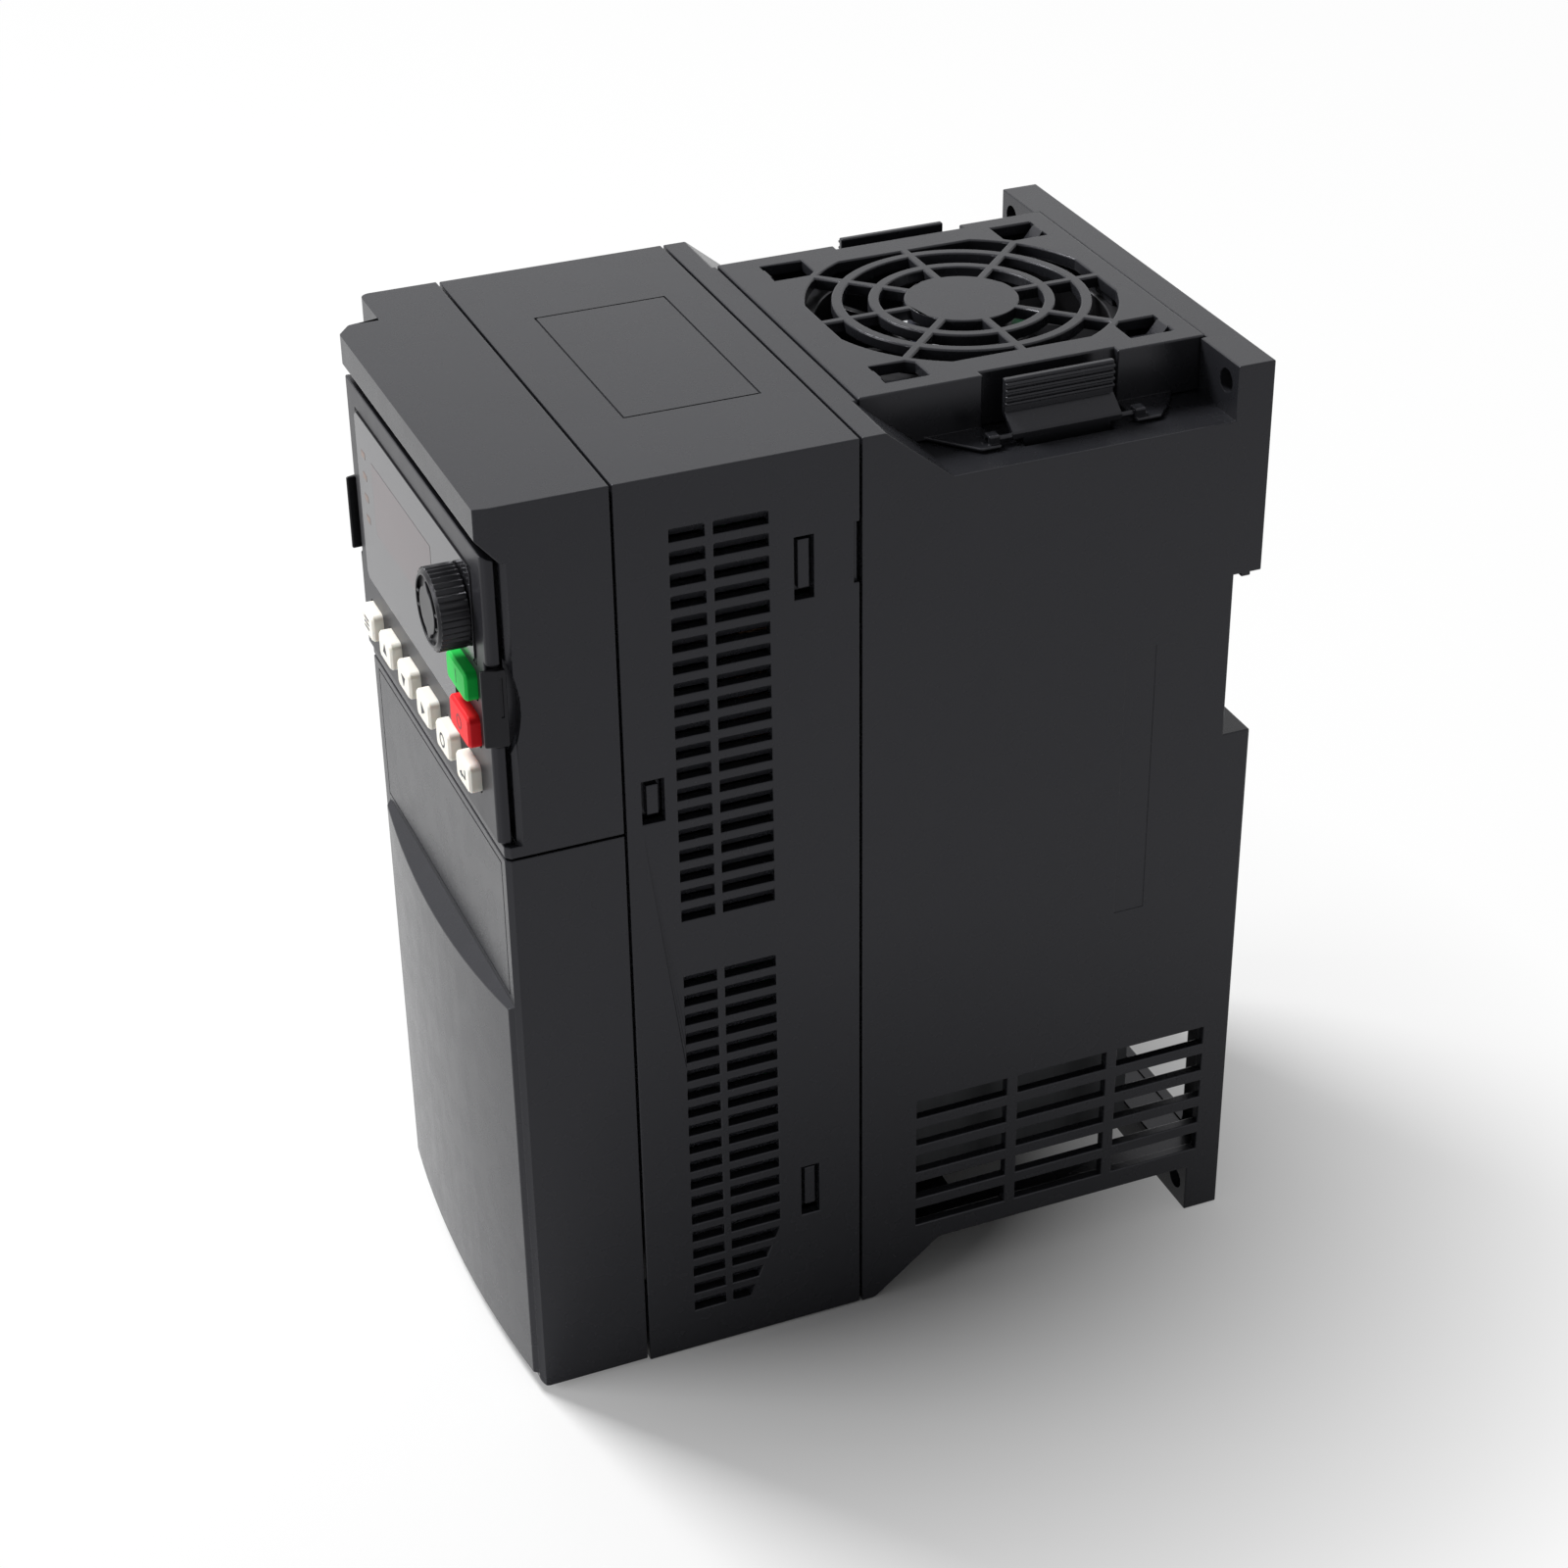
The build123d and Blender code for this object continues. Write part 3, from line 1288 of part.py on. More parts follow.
def make_pot_shaft():
    """Shaft of the potentiometer, held in the knob."""
    with BuildPart() as shaft:
        with BuildSketch(facing(ahead(board_reach + 0.7))):
            with Locations((knob_x, knob_z)):
                Circle(pot_shaft_r)
        extrude(amount=knob_reach - 1.5 - board_reach - 0.7)
    return shaft


def make_knob():
    """Speed knob with ribbed side, grooved face and four ticks."""
    back = ahead(knob_reach - knob_length)
    rim_points = []
    for i in range(2 * knob_ribs):
        radius = knob_r - (i % 2) * knob_rib
        angle = radians(180 * i / knob_ribs)
        rim_points.append((radius * cos(angle), radius * sin(angle)))
    with BuildPart() as knob:
        with BuildSketch(facing(back)):
            with Locations((knob_x, knob_z)):
                Polygon(*rim_points, align=None)
        extrude(amount=knob_length - knob_edge)
        with BuildSketch(facing(back - knob_length + knob_edge)):
            with Locations((knob_x, knob_z)):
                Circle(knob_r - knob_rib)
        extrude(amount=knob_edge, taper=45)
        # face: a groove between the rim and the raised pointer
        with BuildSketch(facing(ahead(knob_reach))):
            with Locations((knob_x, knob_z)):
                Circle(knob_r - knob_rim - knob_edge)
                Circle(knob_disc_r, mode=Mode.SUBTRACT)
                for s in (1, -1):
                    Polygon((-2.4, s * 3), (0, s * (knob_r - knob_rim - 1)), (2.4, s * 3),
                            align=None, mode=Mode.SUBTRACT)
                for angle in (0, 180):
                    with Locations(Location((0, 0, 0), (0, 0, angle))):
                        with Locations((5.4, 1.4), (5.4, -1.4)):
                            Rectangle(1.2, 0.45, mode=Mode.SUBTRACT)
        extrude(amount=-knob_groove, mode=Mode.SUBTRACT)
        with BuildSketch(facing(back)):
            with Locations((knob_x, knob_z)):
                Circle(pot_shaft_r + 0.03)
        extrude(amount=knob_length - 1.4, mode=Mode.SUBTRACT)
    return knob


def make_key(x, z, wide, tall):
    """One key: a rounded cap on a flange that keeps it behind the case."""
    flange_front = key_case_skirt - 0.2
    with BuildPart() as key:
        with BuildSketch(facing(ahead(flange_front))):
            with Locations((x, z)):
                RectangleRounded(wide, tall, key_round)
        extrude(amount=key_case_reach + key_proud - flange_front)
        chamfer(key.faces().sort_by(Axis.Y)[0].edges(), length=key_edge)
        with BuildSketch(facing(ahead(flange_front - key_flange_t))):
            with Locations((x, z)):
                Rectangle(wide + 2 * key_flange, tall + 2 * key_flange)
        extrude(amount=key_flange_t)
    return key


# ---- Fan and its cover --------------------------------------------------------------------------

def grille_slot(inner, outer):
    """One ring of grille slots between two radii, cut up by the spokes."""
    with BuildSketch(Plane.XY.offset(cap_under)) as ring:
        with Locations((0, behind(fan_reach))):
            Circle(outer)
            Circle(inner, mode=Mode.SUBTRACT)
            for i in range(grille_spokes // 2):
                Rectangle(2 * outer + 2, grille_spoke, rotation=360 * i / grille_spokes,
                          mode=Mode.SUBTRACT)
            Rectangle(2 * (fan_half - grille_flat_x), 2 * (fan_half - grille_flat_y),
                      mode=Mode.INTERSECT)
    return ring.sketch


def cap_outline(inset=0.0):
    """Plan of the fan cover with a notch behind each squeeze latch."""
    x = cap_half - inset
    x_in = x - cap_notch
    y0 = behind(cap_front) + inset
    y1 = behind(cap_back) - inset
    n0 = behind(notch_front) - inset
    n1 = behind(notch_back) + inset
    return [(x, y0), (x, n0), (x_in, n0), (x_in, n1), (x, n1), (x, y1), (-x, y1), (-x, n1),
            (-x_in, n1), (-x_in, n0), (-x, n0), (-x, y0)]


def make_fan_cover():
    """Clip-on cover over the fan: round grille, fan clips, skirt and foot plates."""
    foot = deck_z + fit_gap
    axis_y = behind(fan_reach)
    with BuildPart() as cover:
        with BuildSketch(Plane.XY.offset(foot)):
            Polygon(*cap_outline(), align=None)
        extrude(amount=cap_top - foot)
        with BuildSketch(Plane.XY.offset(foot)):
            Polygon(*cap_outline(cap_skirt), align=None)
        extrude(amount=cap_under - foot, mode=Mode.SUBTRACT)
        for inner, outer in grille_slots:
            extrude(grille_slot(fan_half - inner, fan_half - outer), amount=cap_plate,
                    mode=Mode.SUBTRACT)
        # pads that the fan's frame bears on
        for s in (1, -1):
            block(s * (fan_half - grille_flat_x + 0.6), s * fan_half, axis_y - 7, axis_y + 7,
                  fan_top, cap_under + 0.1)
            block(-7, 7, axis_y + s * (fan_half - grille_flat_y + 0.3),
                  axis_y + s * (fan_half + 0.5), fan_top, cap_under + 0.1)
        # clip windows with a sprung tongue and a peg in each of the fan's holes
        x0, x1, d0, d1 = [fan_hole + v for v in clip_pocket]
        t0, t1 = [fan_hole + v for v in clip_tongue]
        d2 = fan_hole + clip_slot_end
        for sx in (1, -1):
            for sy in (1, -1):
                y = [axis_y + sy * d for d in (d0, d1, d2)]
                with BuildSketch(Plane.XY.offset(cap_under)):
                    Polygon((sx * (x0 + 1.5), y[0]), (sx * x1, y[0]), (sx * x1, y[2]),
                            (sx * t1, y[2]), (sx * t1, y[1]), (sx * t0, y[1]),
                            (sx * t0, y[2]), (sx * x0, y[2]), (sx * x0, y[0] + sy * 1.5),
                            align=None)
                extrude(amount=cap_plate, mode=Mode.SUBTRACT)
                block(sx * t0, sx * t1, y[1] - sy * 0.01, y[2], cap_under - 1, cap_top + 1,
                      Mode.SUBTRACT)
                with BuildSketch(Plane.YZ.offset(sx * t0)):
                    pad = axis_y + sy * (fan_hole - 1.8)
                    Polygon((y[2] + sy * 0.2, cap_top), (y[2] + sy * 0.2, cap_under),
                            (y[1], fan_top + 0.3), (pad, fan_top + 0.3), (pad, fan_top + 1.5),
                            (y[1] + sy * 0.2, fan_top + 1.5), (y[2] - sy * 0.2, cap_top),
                            align=None)
                extrude(amount=sx * (t1 - t0))
                with BuildSketch(Plane.XY.offset(fan_top - 3.5)):
                    with Locations((sx * (fan_hole + 0.2), axis_y + sy * fan_hole)):
                        Circle(fan_hole_r - clip_peg)
                extrude(amount=4)
        # foot plates on the deck, with a lug for each pin of the latches
        inner = cap_half - 0.5
        for s in (1, -1):
            with BuildSketch(Plane.XY.offset(foot)):
                Polygon((s * inner, behind(notch_front - 11.9)),
                        (s * foot_plate_out, behind(notch_front - 4.2)),
                        (s * foot_plate_out, behind(notch_front)),
                        (s * inner, behind(notch_front)), align=None)
                Polygon((s * inner, behind(notch_back)), (s * foot_plate_out, behind(notch_back)),
                        (s * foot_plate_out, behind(notch_back + 5.1)),
                        (s * (foot_plate_out - 3.8), behind(notch_back + 8.5)),
                        (s * inner, behind(cap_back - 6)), align=None)
            extrude(amount=foot_plate)
            for y0, y1 in ((notch_front - latch_lug, notch_front),
                           (notch_back, notch_back + latch_lug)):
                block(s * (latch_pivot_x - latch_lug_half), s * (latch_pivot_x + latch_lug_half),
                      behind(y0), behind(y1), foot, latch_pivot_z + latch_lug_half)
            with BuildSketch(facing(behind(notch_back + latch_lug + 1))):
                with Locations((s * latch_pivot_x, latch_pivot_z)):
                    Circle(latch_pin_r + running_gap)
            extrude(amount=notch_back - notch_front + 2 * latch_lug + 2, mode=Mode.SUBTRACT)
    return cover


def make_fan_latch(side):
    """Squeeze latch of the fan cover: a ribbed finger band on a flared arm."""
    out = latch_foot_x
    inner = latch_foot_x - latch_wall
    band = latch_band_x
    band_low = deck_z + latch_band_rise
    foot = deck_z + latch_foot_rise
    front = behind(fan_reach - latch_front)
    back = behind(fan_reach + latch_back)
    with BuildPart() as latch:
        with BuildSketch(facing(back)):
            Polygon((side * band, band_low), (side * band, cap_top),
                    (side * (band - latch_wall), cap_top),
                    (side * (band - latch_wall), band_low - 0.3), (side * inner, foot + 1.2),
                    (side * inner, foot), (side * out, foot), (side * out, foot + 1.5),
                    align=None)
        extrude(amount=back - front)
        # toe through the deck
        block(side * inner, side * out, behind(fan_reach - latch_toe_front),
              behind(fan_reach + latch_toe_back), deck_z - latch_toe_drop, foot + 0.5)
        # pins in the lugs of the foot plates
        with BuildSketch(facing(behind(notch_back + latch_pin_end))):
            with Locations((side * latch_pivot_x, latch_pivot_z)):
                Circle(latch_pin_r)
        extrude(amount=notch_back - notch_front + 2 * latch_pin_end)
        # finger ribs
        rib_pitch = (cap_top - band_low - 1.2) / latch_ribs
        for i in range(latch_ribs):
            z = band_low + 1.2 + i * rib_pitch
            block(side * (band - 0.3), side * (band + latch_rib), front, back, z,
                  z + rib_pitch / 2)
    return latch


def make_fan_frame():
    """Square frame of the axial fan with its motor base on four struts."""
    axis_y = behind(fan_reach)
    with BuildPart() as frame:
        with BuildSketch(Plane.XY.offset(fan_low)):
            with Locations((0, axis_y)):
                RectangleRounded(fan_size, fan_size, fan_corner)
        extrude(amount=fan_depth)
        with BuildSketch(Plane.XY.offset(fan_low)):
            with Locations((0, axis_y)):
                Circle(fan_bore_r)
                with GridLocations(2 * fan_hole, 2 * fan_hole, 2, 2):
                    Circle(fan_hole_r)
        extrude(amount=fan_depth, mode=Mode.SUBTRACT)
        with BuildSketch(Plane.XY.offset(fan_low)):
            with Locations((0, axis_y)):
                Circle(motor_base_r)
                Rectangle(2 * fan_bore_r + 1, strut_width, rotation=45)
                Rectangle(2 * fan_bore_r + 1, strut_width, rotation=-45)
        extrude(amount=motor_base)
        with BuildSketch(Plane.XY.offset(fan_low)):
            with Locations((0, axis_y)):
                Circle(bearing_r + bearing_wall)
        extrude(amount=fan_depth - 6)
        with BuildSketch(Plane.XY.offset(fan_low + 1.0)):
            with Locations((0, axis_y)):
                Circle(bearing_r)
        extrude(amount=fan_depth, mode=Mode.SUBTRACT)
    return frame


def make_fan_bearing():
    """Sleeve bearing pressed into the fan's frame."""
    with BuildPart() as sleeve:
        with BuildSketch(Plane.XY.offset(fan_low + 1.0)):
            with Locations((0, behind(fan_reach))):
                Circle(bearing_r)
                Circle(shaft_r + running_gap, mode=Mode.SUBTRACT)
        extrude(amount=fan_depth - 7)
    return sleeve


def make_fan_stator():
    """Ring of windings round the bearing tube."""
    with BuildPart() as ring:
        with BuildSketch(Plane.XY.offset(fan_low + motor_base)):
            with Locations((0, behind(fan_reach))):
                Circle(hub_r - 2.4)
                Circle(bearing_r + bearing_wall + running_gap, mode=Mode.SUBTRACT)
        extrude(amount=fan_depth - motor_base - 7)
    return ring


def make_fan_rotor():
    """Fan rotor: a cup over the windings, with swept blades and a shaft."""
    axis_y = behind(fan_reach)
    tip_r = fan_bore_r - fan_tip_gap
    low = fan_low + motor_base + 1.0
    high = fan_top - 1.2
    with BuildPart() as rotor:
        for i in range(blade_count):
            spin = 360 * i / blade_count
            with Locations(Location((0, axis_y, 0), (0, 0, spin))):
                add(fan_blade(low + 1.5, high - 1.0))
        with BuildSketch(Plane.XY.offset(low)):
            with Locations((0, axis_y)):
                Circle(tip_r)
        extrude(amount=high - low, mode=Mode.INTERSECT)
        with BuildSketch(Plane.XY.offset(low)):
            with Locations((0, axis_y)):
                Circle(hub_r)
        extrude(amount=high - low)
        fillet(rotor.faces().sort_by(Axis.Z)[-1].edges(), radius=1.2)
        with BuildSketch(Plane.XY.offset(low)):
            with Locations((0, axis_y)):
                Circle(hub_r - 1.6)
        extrude(amount=high - low - 2.0, mode=Mode.SUBTRACT)
        with BuildSketch(Plane.XY.offset(fan_low + 1.6)):
            with Locations((0, axis_y)):
                Circle(shaft_r)
        extrude(amount=high - fan_low - 2.6)
    return rotor


def fan_blade(low, high):
    """One cambered blade about the world axis, reaching past the rotor's rim."""
    lean = blade_chord / 2
    mid = (low + high) / 2
    t = blade_thickness
    with BuildPart(mode=Mode.PRIVATE) as blade:
        with BuildSketch(Plane.YZ.offset(hub_r - 1.2)):
            with BuildLine():
                ThreePointArc((-lean, low), (blade_camber, mid), (lean, high))
                Line((lean, high), (lean - t, high))
                ThreePointArc((lean - t, high), (blade_camber - t, mid), (-lean - t, low))
                Line((-lean - t, low), (-lean, low))
            make_face()
        extrude(amount=fan_bore_r - hub_r + 2)
    return blade.part


# ---- Build and write ----------------------------------------------------------------------------

def build():
    """Build every piece of the drive and write each as its own STEP file."""
    os.makedirs("parts", exist_ok=True)
    pieces = {
        "rear_housing": make_rear_housing(),
        "rail_latch": make_rail_latch(),
        "heat_sink": make_heat_sink(),
        "power_module": make_power_module(),
        "power_board": make_power_board(),
        "bus_capacitors": make_bus_capacitors(),
        "relays": make_relays(),
        "transformer": make_transformer(),
        "filter_choke": make_filter_choke(),
        "power_terminals": make_power_terminals(),
        "power_screws": make_power_screws(),
        "control_board": make_control_board(),
        "control_terminals": make_control_terminals(),
        "keypad_socket": make_keypad_socket(),
        "mid_frame": make_mid_frame(),
        "cable_plate": make_cable_plate(),
        "cable_grommets": make_cable_grommets(),
        "upper_cover": make_upper_cover(),
        "lower_cover": make_lower_cover(),
        "keypad_case": make_keypad_case(),
        "keypad_back": make_keypad_back(),
        "keypad_plug": make_keypad_plug(),
        "keypad_board": make_keypad_board(),
        "key_mat": make_key_mat(),
        "display_module": make_display_module(),
        "keypad_overlay": make_overlay(),
        "potentiometer": make_potentiometer(),
        "pot_shaft": make_pot_shaft(),
        "knob": make_knob(),
        "keypad_clip_right": make_keypad_clip(1),
        "keypad_clip_left": make_keypad_clip(-1),
        "run_key": make_key(wide_key_x, run_key_z, wide_key_width, run_key_height),
        "stop_key": make_key(wide_key_x, stop_key_z, wide_key_width, stop_key_height),
        "fan_cover": make_fan_cover(),
        "fan_latch_right": make_fan_latch(1),
        "fan_latch_left": make_fan_latch(-1),
        "fan_frame": make_fan_frame(),
        "fan_bearing": make_fan_bearing(),
        "fan_stator": make_fan_stator(),
        "fan_rotor": make_fan_rotor(),
    }
    for i, (x, z) in enumerate(white_keys(), start=1):
        pieces[f"key_{i}"] = make_key(x, z, key_width, key_height)
    for name, piece in pieces.items():
        save(piece, name)


build()
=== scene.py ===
"""Looks of the variable frequency drive: finishes, fine detail, studio and camera.

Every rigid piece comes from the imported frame. This script softens the moulded edges of
the shells, adds the small fittings that the frame leaves out, and gives each piece its
own procedural finish. Lengths are in metres, in the frame's own axes.
"""

import json
import logging
import math
from dataclasses import dataclass, field
from enum import Enum
from typing import Dict, Optional, Sequence, Tuple

import bmesh
import bpy
from mathutils import Matrix, Vector
from mathutils.geometry import intersect_point_line

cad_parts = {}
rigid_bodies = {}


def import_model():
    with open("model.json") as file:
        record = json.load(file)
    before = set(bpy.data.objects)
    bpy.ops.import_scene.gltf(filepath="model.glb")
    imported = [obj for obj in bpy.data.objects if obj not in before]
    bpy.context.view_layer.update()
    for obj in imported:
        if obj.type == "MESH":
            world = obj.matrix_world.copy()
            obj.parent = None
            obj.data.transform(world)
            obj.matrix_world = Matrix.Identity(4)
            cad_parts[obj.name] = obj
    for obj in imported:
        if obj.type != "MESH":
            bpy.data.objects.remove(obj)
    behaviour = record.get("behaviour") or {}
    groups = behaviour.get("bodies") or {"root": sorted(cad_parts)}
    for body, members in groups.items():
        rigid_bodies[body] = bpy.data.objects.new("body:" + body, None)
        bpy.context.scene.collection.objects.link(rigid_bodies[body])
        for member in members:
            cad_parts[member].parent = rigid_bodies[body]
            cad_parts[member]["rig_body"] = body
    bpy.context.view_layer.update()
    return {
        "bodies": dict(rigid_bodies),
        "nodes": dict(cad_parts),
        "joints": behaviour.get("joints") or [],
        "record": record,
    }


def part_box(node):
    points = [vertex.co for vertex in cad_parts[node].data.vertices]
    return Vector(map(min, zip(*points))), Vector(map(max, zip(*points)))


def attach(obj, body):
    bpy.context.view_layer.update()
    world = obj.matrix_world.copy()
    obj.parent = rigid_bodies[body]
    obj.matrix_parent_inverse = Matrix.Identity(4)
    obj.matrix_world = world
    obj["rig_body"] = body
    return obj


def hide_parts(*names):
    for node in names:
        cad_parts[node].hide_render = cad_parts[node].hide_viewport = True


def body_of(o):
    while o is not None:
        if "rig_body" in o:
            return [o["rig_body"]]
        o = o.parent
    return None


log = logging.getLogger("drive")

Colour = Tuple[float, float, float, float]
Point = Tuple[float, float, float]
Pair = Tuple[float, float]

MM = 0.001
QUARTER = math.pi / 2
CREASE = 35.0           # degrees: an edge that turns more than this counts as sharp
AHEAD = -0.7            # cosine: below it, one edge runs on from the end of the other
SHELL_RADIUS = 0.25 * MM
WHITE_KEYS = tuple(f"key_{number}" for number in range(1, 7))


# ---- Finishes ------------------------------------------------------------------------


class Grain(Enum):
    """How the surface of a finish is textured: its look, cells per metre and depth."""

    SPARK = ("spark eroded", 4200.0, 0.02 * MM)
    FINE = ("fine satin", 6000.0, 0.012 * MM)
    SMOOTH = ("polished", 1200.0, 0.002 * MM)

    @property
    def cells(self) -> float:
        """Noise cells per metre."""
        return self.value[1]

    @property
    def depth(self) -> float:
        """Depth of the texture, in metres."""
        return self.value[2]


@dataclass(frozen=True)
class NodeSheet:
    """Small helper around the node tree of a material or a world."""

    owner: bpy.types.ID

    @staticmethod
    def start(name: str) -> "NodeSheet":
        """Make a material with an empty node tree.

        Args:
            name: name of the material.

        Returns:
            The sheet to add nodes to.
        """
        return NodeSheet.clear(bpy.data.materials.new(name))

    @staticmethod
    def clear(owner: bpy.types.ID) -> "NodeSheet":
        """Empty the node tree of a material or a world.

        Args:
            owner: the material or world.

        Returns:
            The sheet to add nodes to.
        """
        owner.use_nodes = True
        owner.node_tree.nodes.clear()
        return NodeSheet(owner)

    def add(self, kind: str, **values: object) -> bpy.types.Node:
        """Add a node and set its sockets or properties by name.

        Args:
            kind: the node's class name.
            values: socket values, with blanks in their names written as underscores.

        Returns:
            The new node.
        """
        node = self.owner.node_tree.nodes.new(kind)
        for key, value in values.items():
            socket = node.inputs.get(key.replace("_", " "))
            if socket is not None:
                socket.default_value = value
            else:
                setattr(node, key, value)
        return node

    def link(self, source: bpy.types.NodeSocket, target: bpy.types.NodeSocket) -> None:
        """Join two sockets.

        Args:
            source: the output.
            target: the input.
        """
        self.owner.node_tree.links.new(source, target)

    def position(self) -> bpy.types.NodeSocket:
        """Object coordinates.

        Returns:
            The place in the object, in metres.
        """
        return self.add("ShaderNodeTexCoord").outputs["Object"]

    def noise(self, scale: float, detail: float, roughness: float = 0.5,
              stretch: Point = (1.0, 1.0, 1.0)) -> bpy.types.NodeSocket:
        """Noise in object coordinates.

        Args:
            scale: noise cells per metre.
            detail: octaves.
            roughness: how strong the fine octaves are.
            stretch: scale of the pattern along each axis.

        Returns:
            The noise factor.
        """
        place = self.add("ShaderNodeMapping", Scale=stretch)
        self.link(self.position(), place.inputs["Vector"])
        node = self.add("ShaderNodeTexNoise", Scale=scale, Detail=detail, Roughness=roughness)
        self.link(place.outputs["Vector"], node.inputs["Vector"])
        return node.outputs["Fac"]

    def ramp(self, source: bpy.types.NodeSocket, low: float, high: float,
             start: Colour, end: Colour) -> bpy.types.NodeSocket:
        """Colour ramp between two colours over part of a factor's range.

        Args:
            source: the factor.
            low: factor at which the ramp starts.
            high: factor at which it ends.
            start: colour at its start.
            end: colour at its end.

        Returns:
            The colour.
        """
        node = self.add("ShaderNodeValToRGB")
        node.color_ramp.elements[0].position = low
        node.color_ramp.elements[0].color = start
        node.color_ramp.elements[1].position = high
        node.color_ramp.elements[1].color = end
        self.link(source, node.inputs["Fac"])
        return node.outputs["Color"]

    def spread(self, source: bpy.types.NodeSocket, low: float, high: float,
               start: float = 0.0, end: float = 1.0) -> bpy.types.NodeSocket:
        """Map a value from one range onto another.

        Args:
            source: the value.
            low: what the start becomes.
            high: what the end becomes.
            start: where the value's range starts.
            end: where it ends.

        Returns:
            The mapped value.
        """
        node = self.add("ShaderNodeMapRange", From_Min=start, From_Max=end, To_Min=low,
                        To_Max=high)
        self.link(source, node.inputs["Value"])
        return node.outputs["Result"]

    def bump(self, height: bpy.types.NodeSocket, depth: float, strength: float = 1.0,
             under: Optional[bpy.types.NodeSocket] = None) -> bpy.types.NodeSocket:
        """Bump from a height, laid over another normal where one is given.

        Args:
            height: the height, from 0 to 1.
            depth: what a height of 1 stands for, in metres.
            strength: share of the bump that shows.
            under: the normal below it.

        Returns:
            The bumped normal.
        """
        node = self.add("ShaderNodeBump", Strength=strength, Distance=depth)
        self.link(height, node.inputs["Height"])
        if under is not None:
            self.link(under, node.inputs["Normal"])
        return node.outputs["Normal"]

    def combine(self, operation: str, one: bpy.types.NodeSocket,
                other: bpy.types.NodeSocket) -> bpy.types.NodeSocket:
        """Work out one value from two.

        Args:
            operation: what is done with them, such as MAXIMUM or MULTIPLY.
            one: the first value.
            other: the second value.

        Returns:
            The result.
        """
        node = self.add("ShaderNodeMath", operation=operation)
        self.link(one, node.inputs[0])
        self.link(other, node.inputs[1])
        return node.outputs[0]

    def seen_directly(self) -> bpy.types.NodeSocket:
        """Tell rays from the camera, or passed on by gloss or glass, from the others.

        Returns:
            1 for those rays and 0 for the rays that only light the object.
        """
        path = self.add("ShaderNodeLightPath").outputs
        mirrored = self.combine("MAXIMUM", path["Is Glossy Ray"], path["Is Transmission Ray"])
        return self.combine("MAXIMUM", path["Is Camera Ray"], mirrored)

    def finish(self, shader: bpy.types.Node, kind: str = "Material") -> bpy.types.ID:
        """Join the shader to the output.

        Args:
            shader: the shader.
            kind: Material, or World for a world's background.

        Returns:
            The finished material or world.
        """
        out = self.add(f"ShaderNodeOutput{kind}")
        self.link(shader.outputs[0], out.inputs["Surface"])
        return self.owner


def shade(colour: Colour, factor: float) -> Colour:
    """Make a colour lighter or darker.

    Args:
        colour: the colour.
        factor: over 1 for lighter, under 1 for darker.

    Returns:
        The new colour.
    """
    return (min(1.0, colour[0] * factor), min(1.0, colour[1] * factor),
            min(1.0, colour[2] * factor), 1.0)


@dataclass(frozen=True)
class MouldedPlastic:
    """Injection-moulded plastic with spark-eroded or satin texture."""

    name: str
    colour: Colour
    roughness: float = 0.42
    grain: Grain = Grain.SPARK
    specular: float = 0.5
    edge: float = 0.12 * MM
    soft: float = 0.0
    sheen_tint: Colour = (0.92, 0.92, 1.0, 1.0)
    soft_reach: Point = (1.0, 0.85, 0.7)
    soft_depth: float = 1.2 * MM
    mottle_cells: float = 28.0
    mottle: float = 0.07        # how much lighter and darker it gets
    wear_cells: float = 160.0
    wear: float = 0.05          # how much rougher and smoother it gets
    grain_share: float = 0.6

    def build(self) -> bpy.types.Material:
        """Make the material.

        Returns:
            The finished material.
        """
        sheet = NodeSheet.start(self.name)
        broad = sheet.noise(self.mottle_cells, 3.0)
        tone = sheet.ramp(broad, 0.3, 0.7, shade(self.colour, 1.0 - self.mottle),
                          shade(self.colour, 1.0 + self.mottle))
        fine = sheet.noise(self.grain.cells, 2.0, 0.6)
        rounded = sheet.add("ShaderNodeBevel", samples=4, Radius=self.edge)
        normal = sheet.bump(fine, self.grain.depth, self.grain_share,
                            rounded.outputs["Normal"])
        rough = sheet.spread(sheet.noise(self.wear_cells, 4.0), self.roughness - self.wear,
                             self.roughness + self.wear)
        shader = sheet.add("ShaderNodeBsdfPrincipled", Specular_IOR_Level=self.specular,
                           Specular_Tint=self.sheen_tint, Subsurface_Weight=self.soft,
                           Subsurface_Radius=self.soft_reach,
                           Subsurface_Scale=self.soft_depth)
        sheet.link(tone, shader.inputs["Base Color"])
        sheet.link(rough, shader.inputs["Roughness"])
        sheet.link(normal, shader.inputs["Normal"])
        return sheet.finish(shader)


@dataclass(frozen=True)
class Metal:
    """Bare or plated metal with streaks along one axis."""

    name: str
    colour: Colour
    roughness: float = 0.32
    stretch: Point = (1.0, 1.0, 0.05)
    streak_cells: float = 900.0
    streak_depth: float = 0.01 * MM
    streak_share: float = 0.5
    streak_tone: Pair = (0.88, 1.08)
    streak_wear: Pair = (-0.08, 0.1)

    def build(self) -> bpy.types.Material:
        """Make the material.

        Returns:
            The finished material.
        """
        sheet = NodeSheet.start(self.name)
        streaks = sheet.noise(self.streak_cells, 3.0, 0.6, self.stretch)
        tone = sheet.ramp(streaks, 0.25, 0.75, shade(self.colour, self.streak_tone[0]),
                          shade(self.colour, self.streak_tone[1]))
        rough = sheet.spread(streaks, self.roughness + self.streak_wear[0],
                             self.roughness + self.streak_wear[1])
        normal = sheet.bump(streaks, self.streak_depth, self.streak_share)
        shader = sheet.add("ShaderNodeBsdfPrincipled", Metallic=1.0)
        sheet.link(tone, shader.inputs["Base Color"])
        sheet.link(rough, shader.inputs["Roughness"])
        sheet.link(normal, shader.inputs["Normal"])
        return sheet.finish(shader)


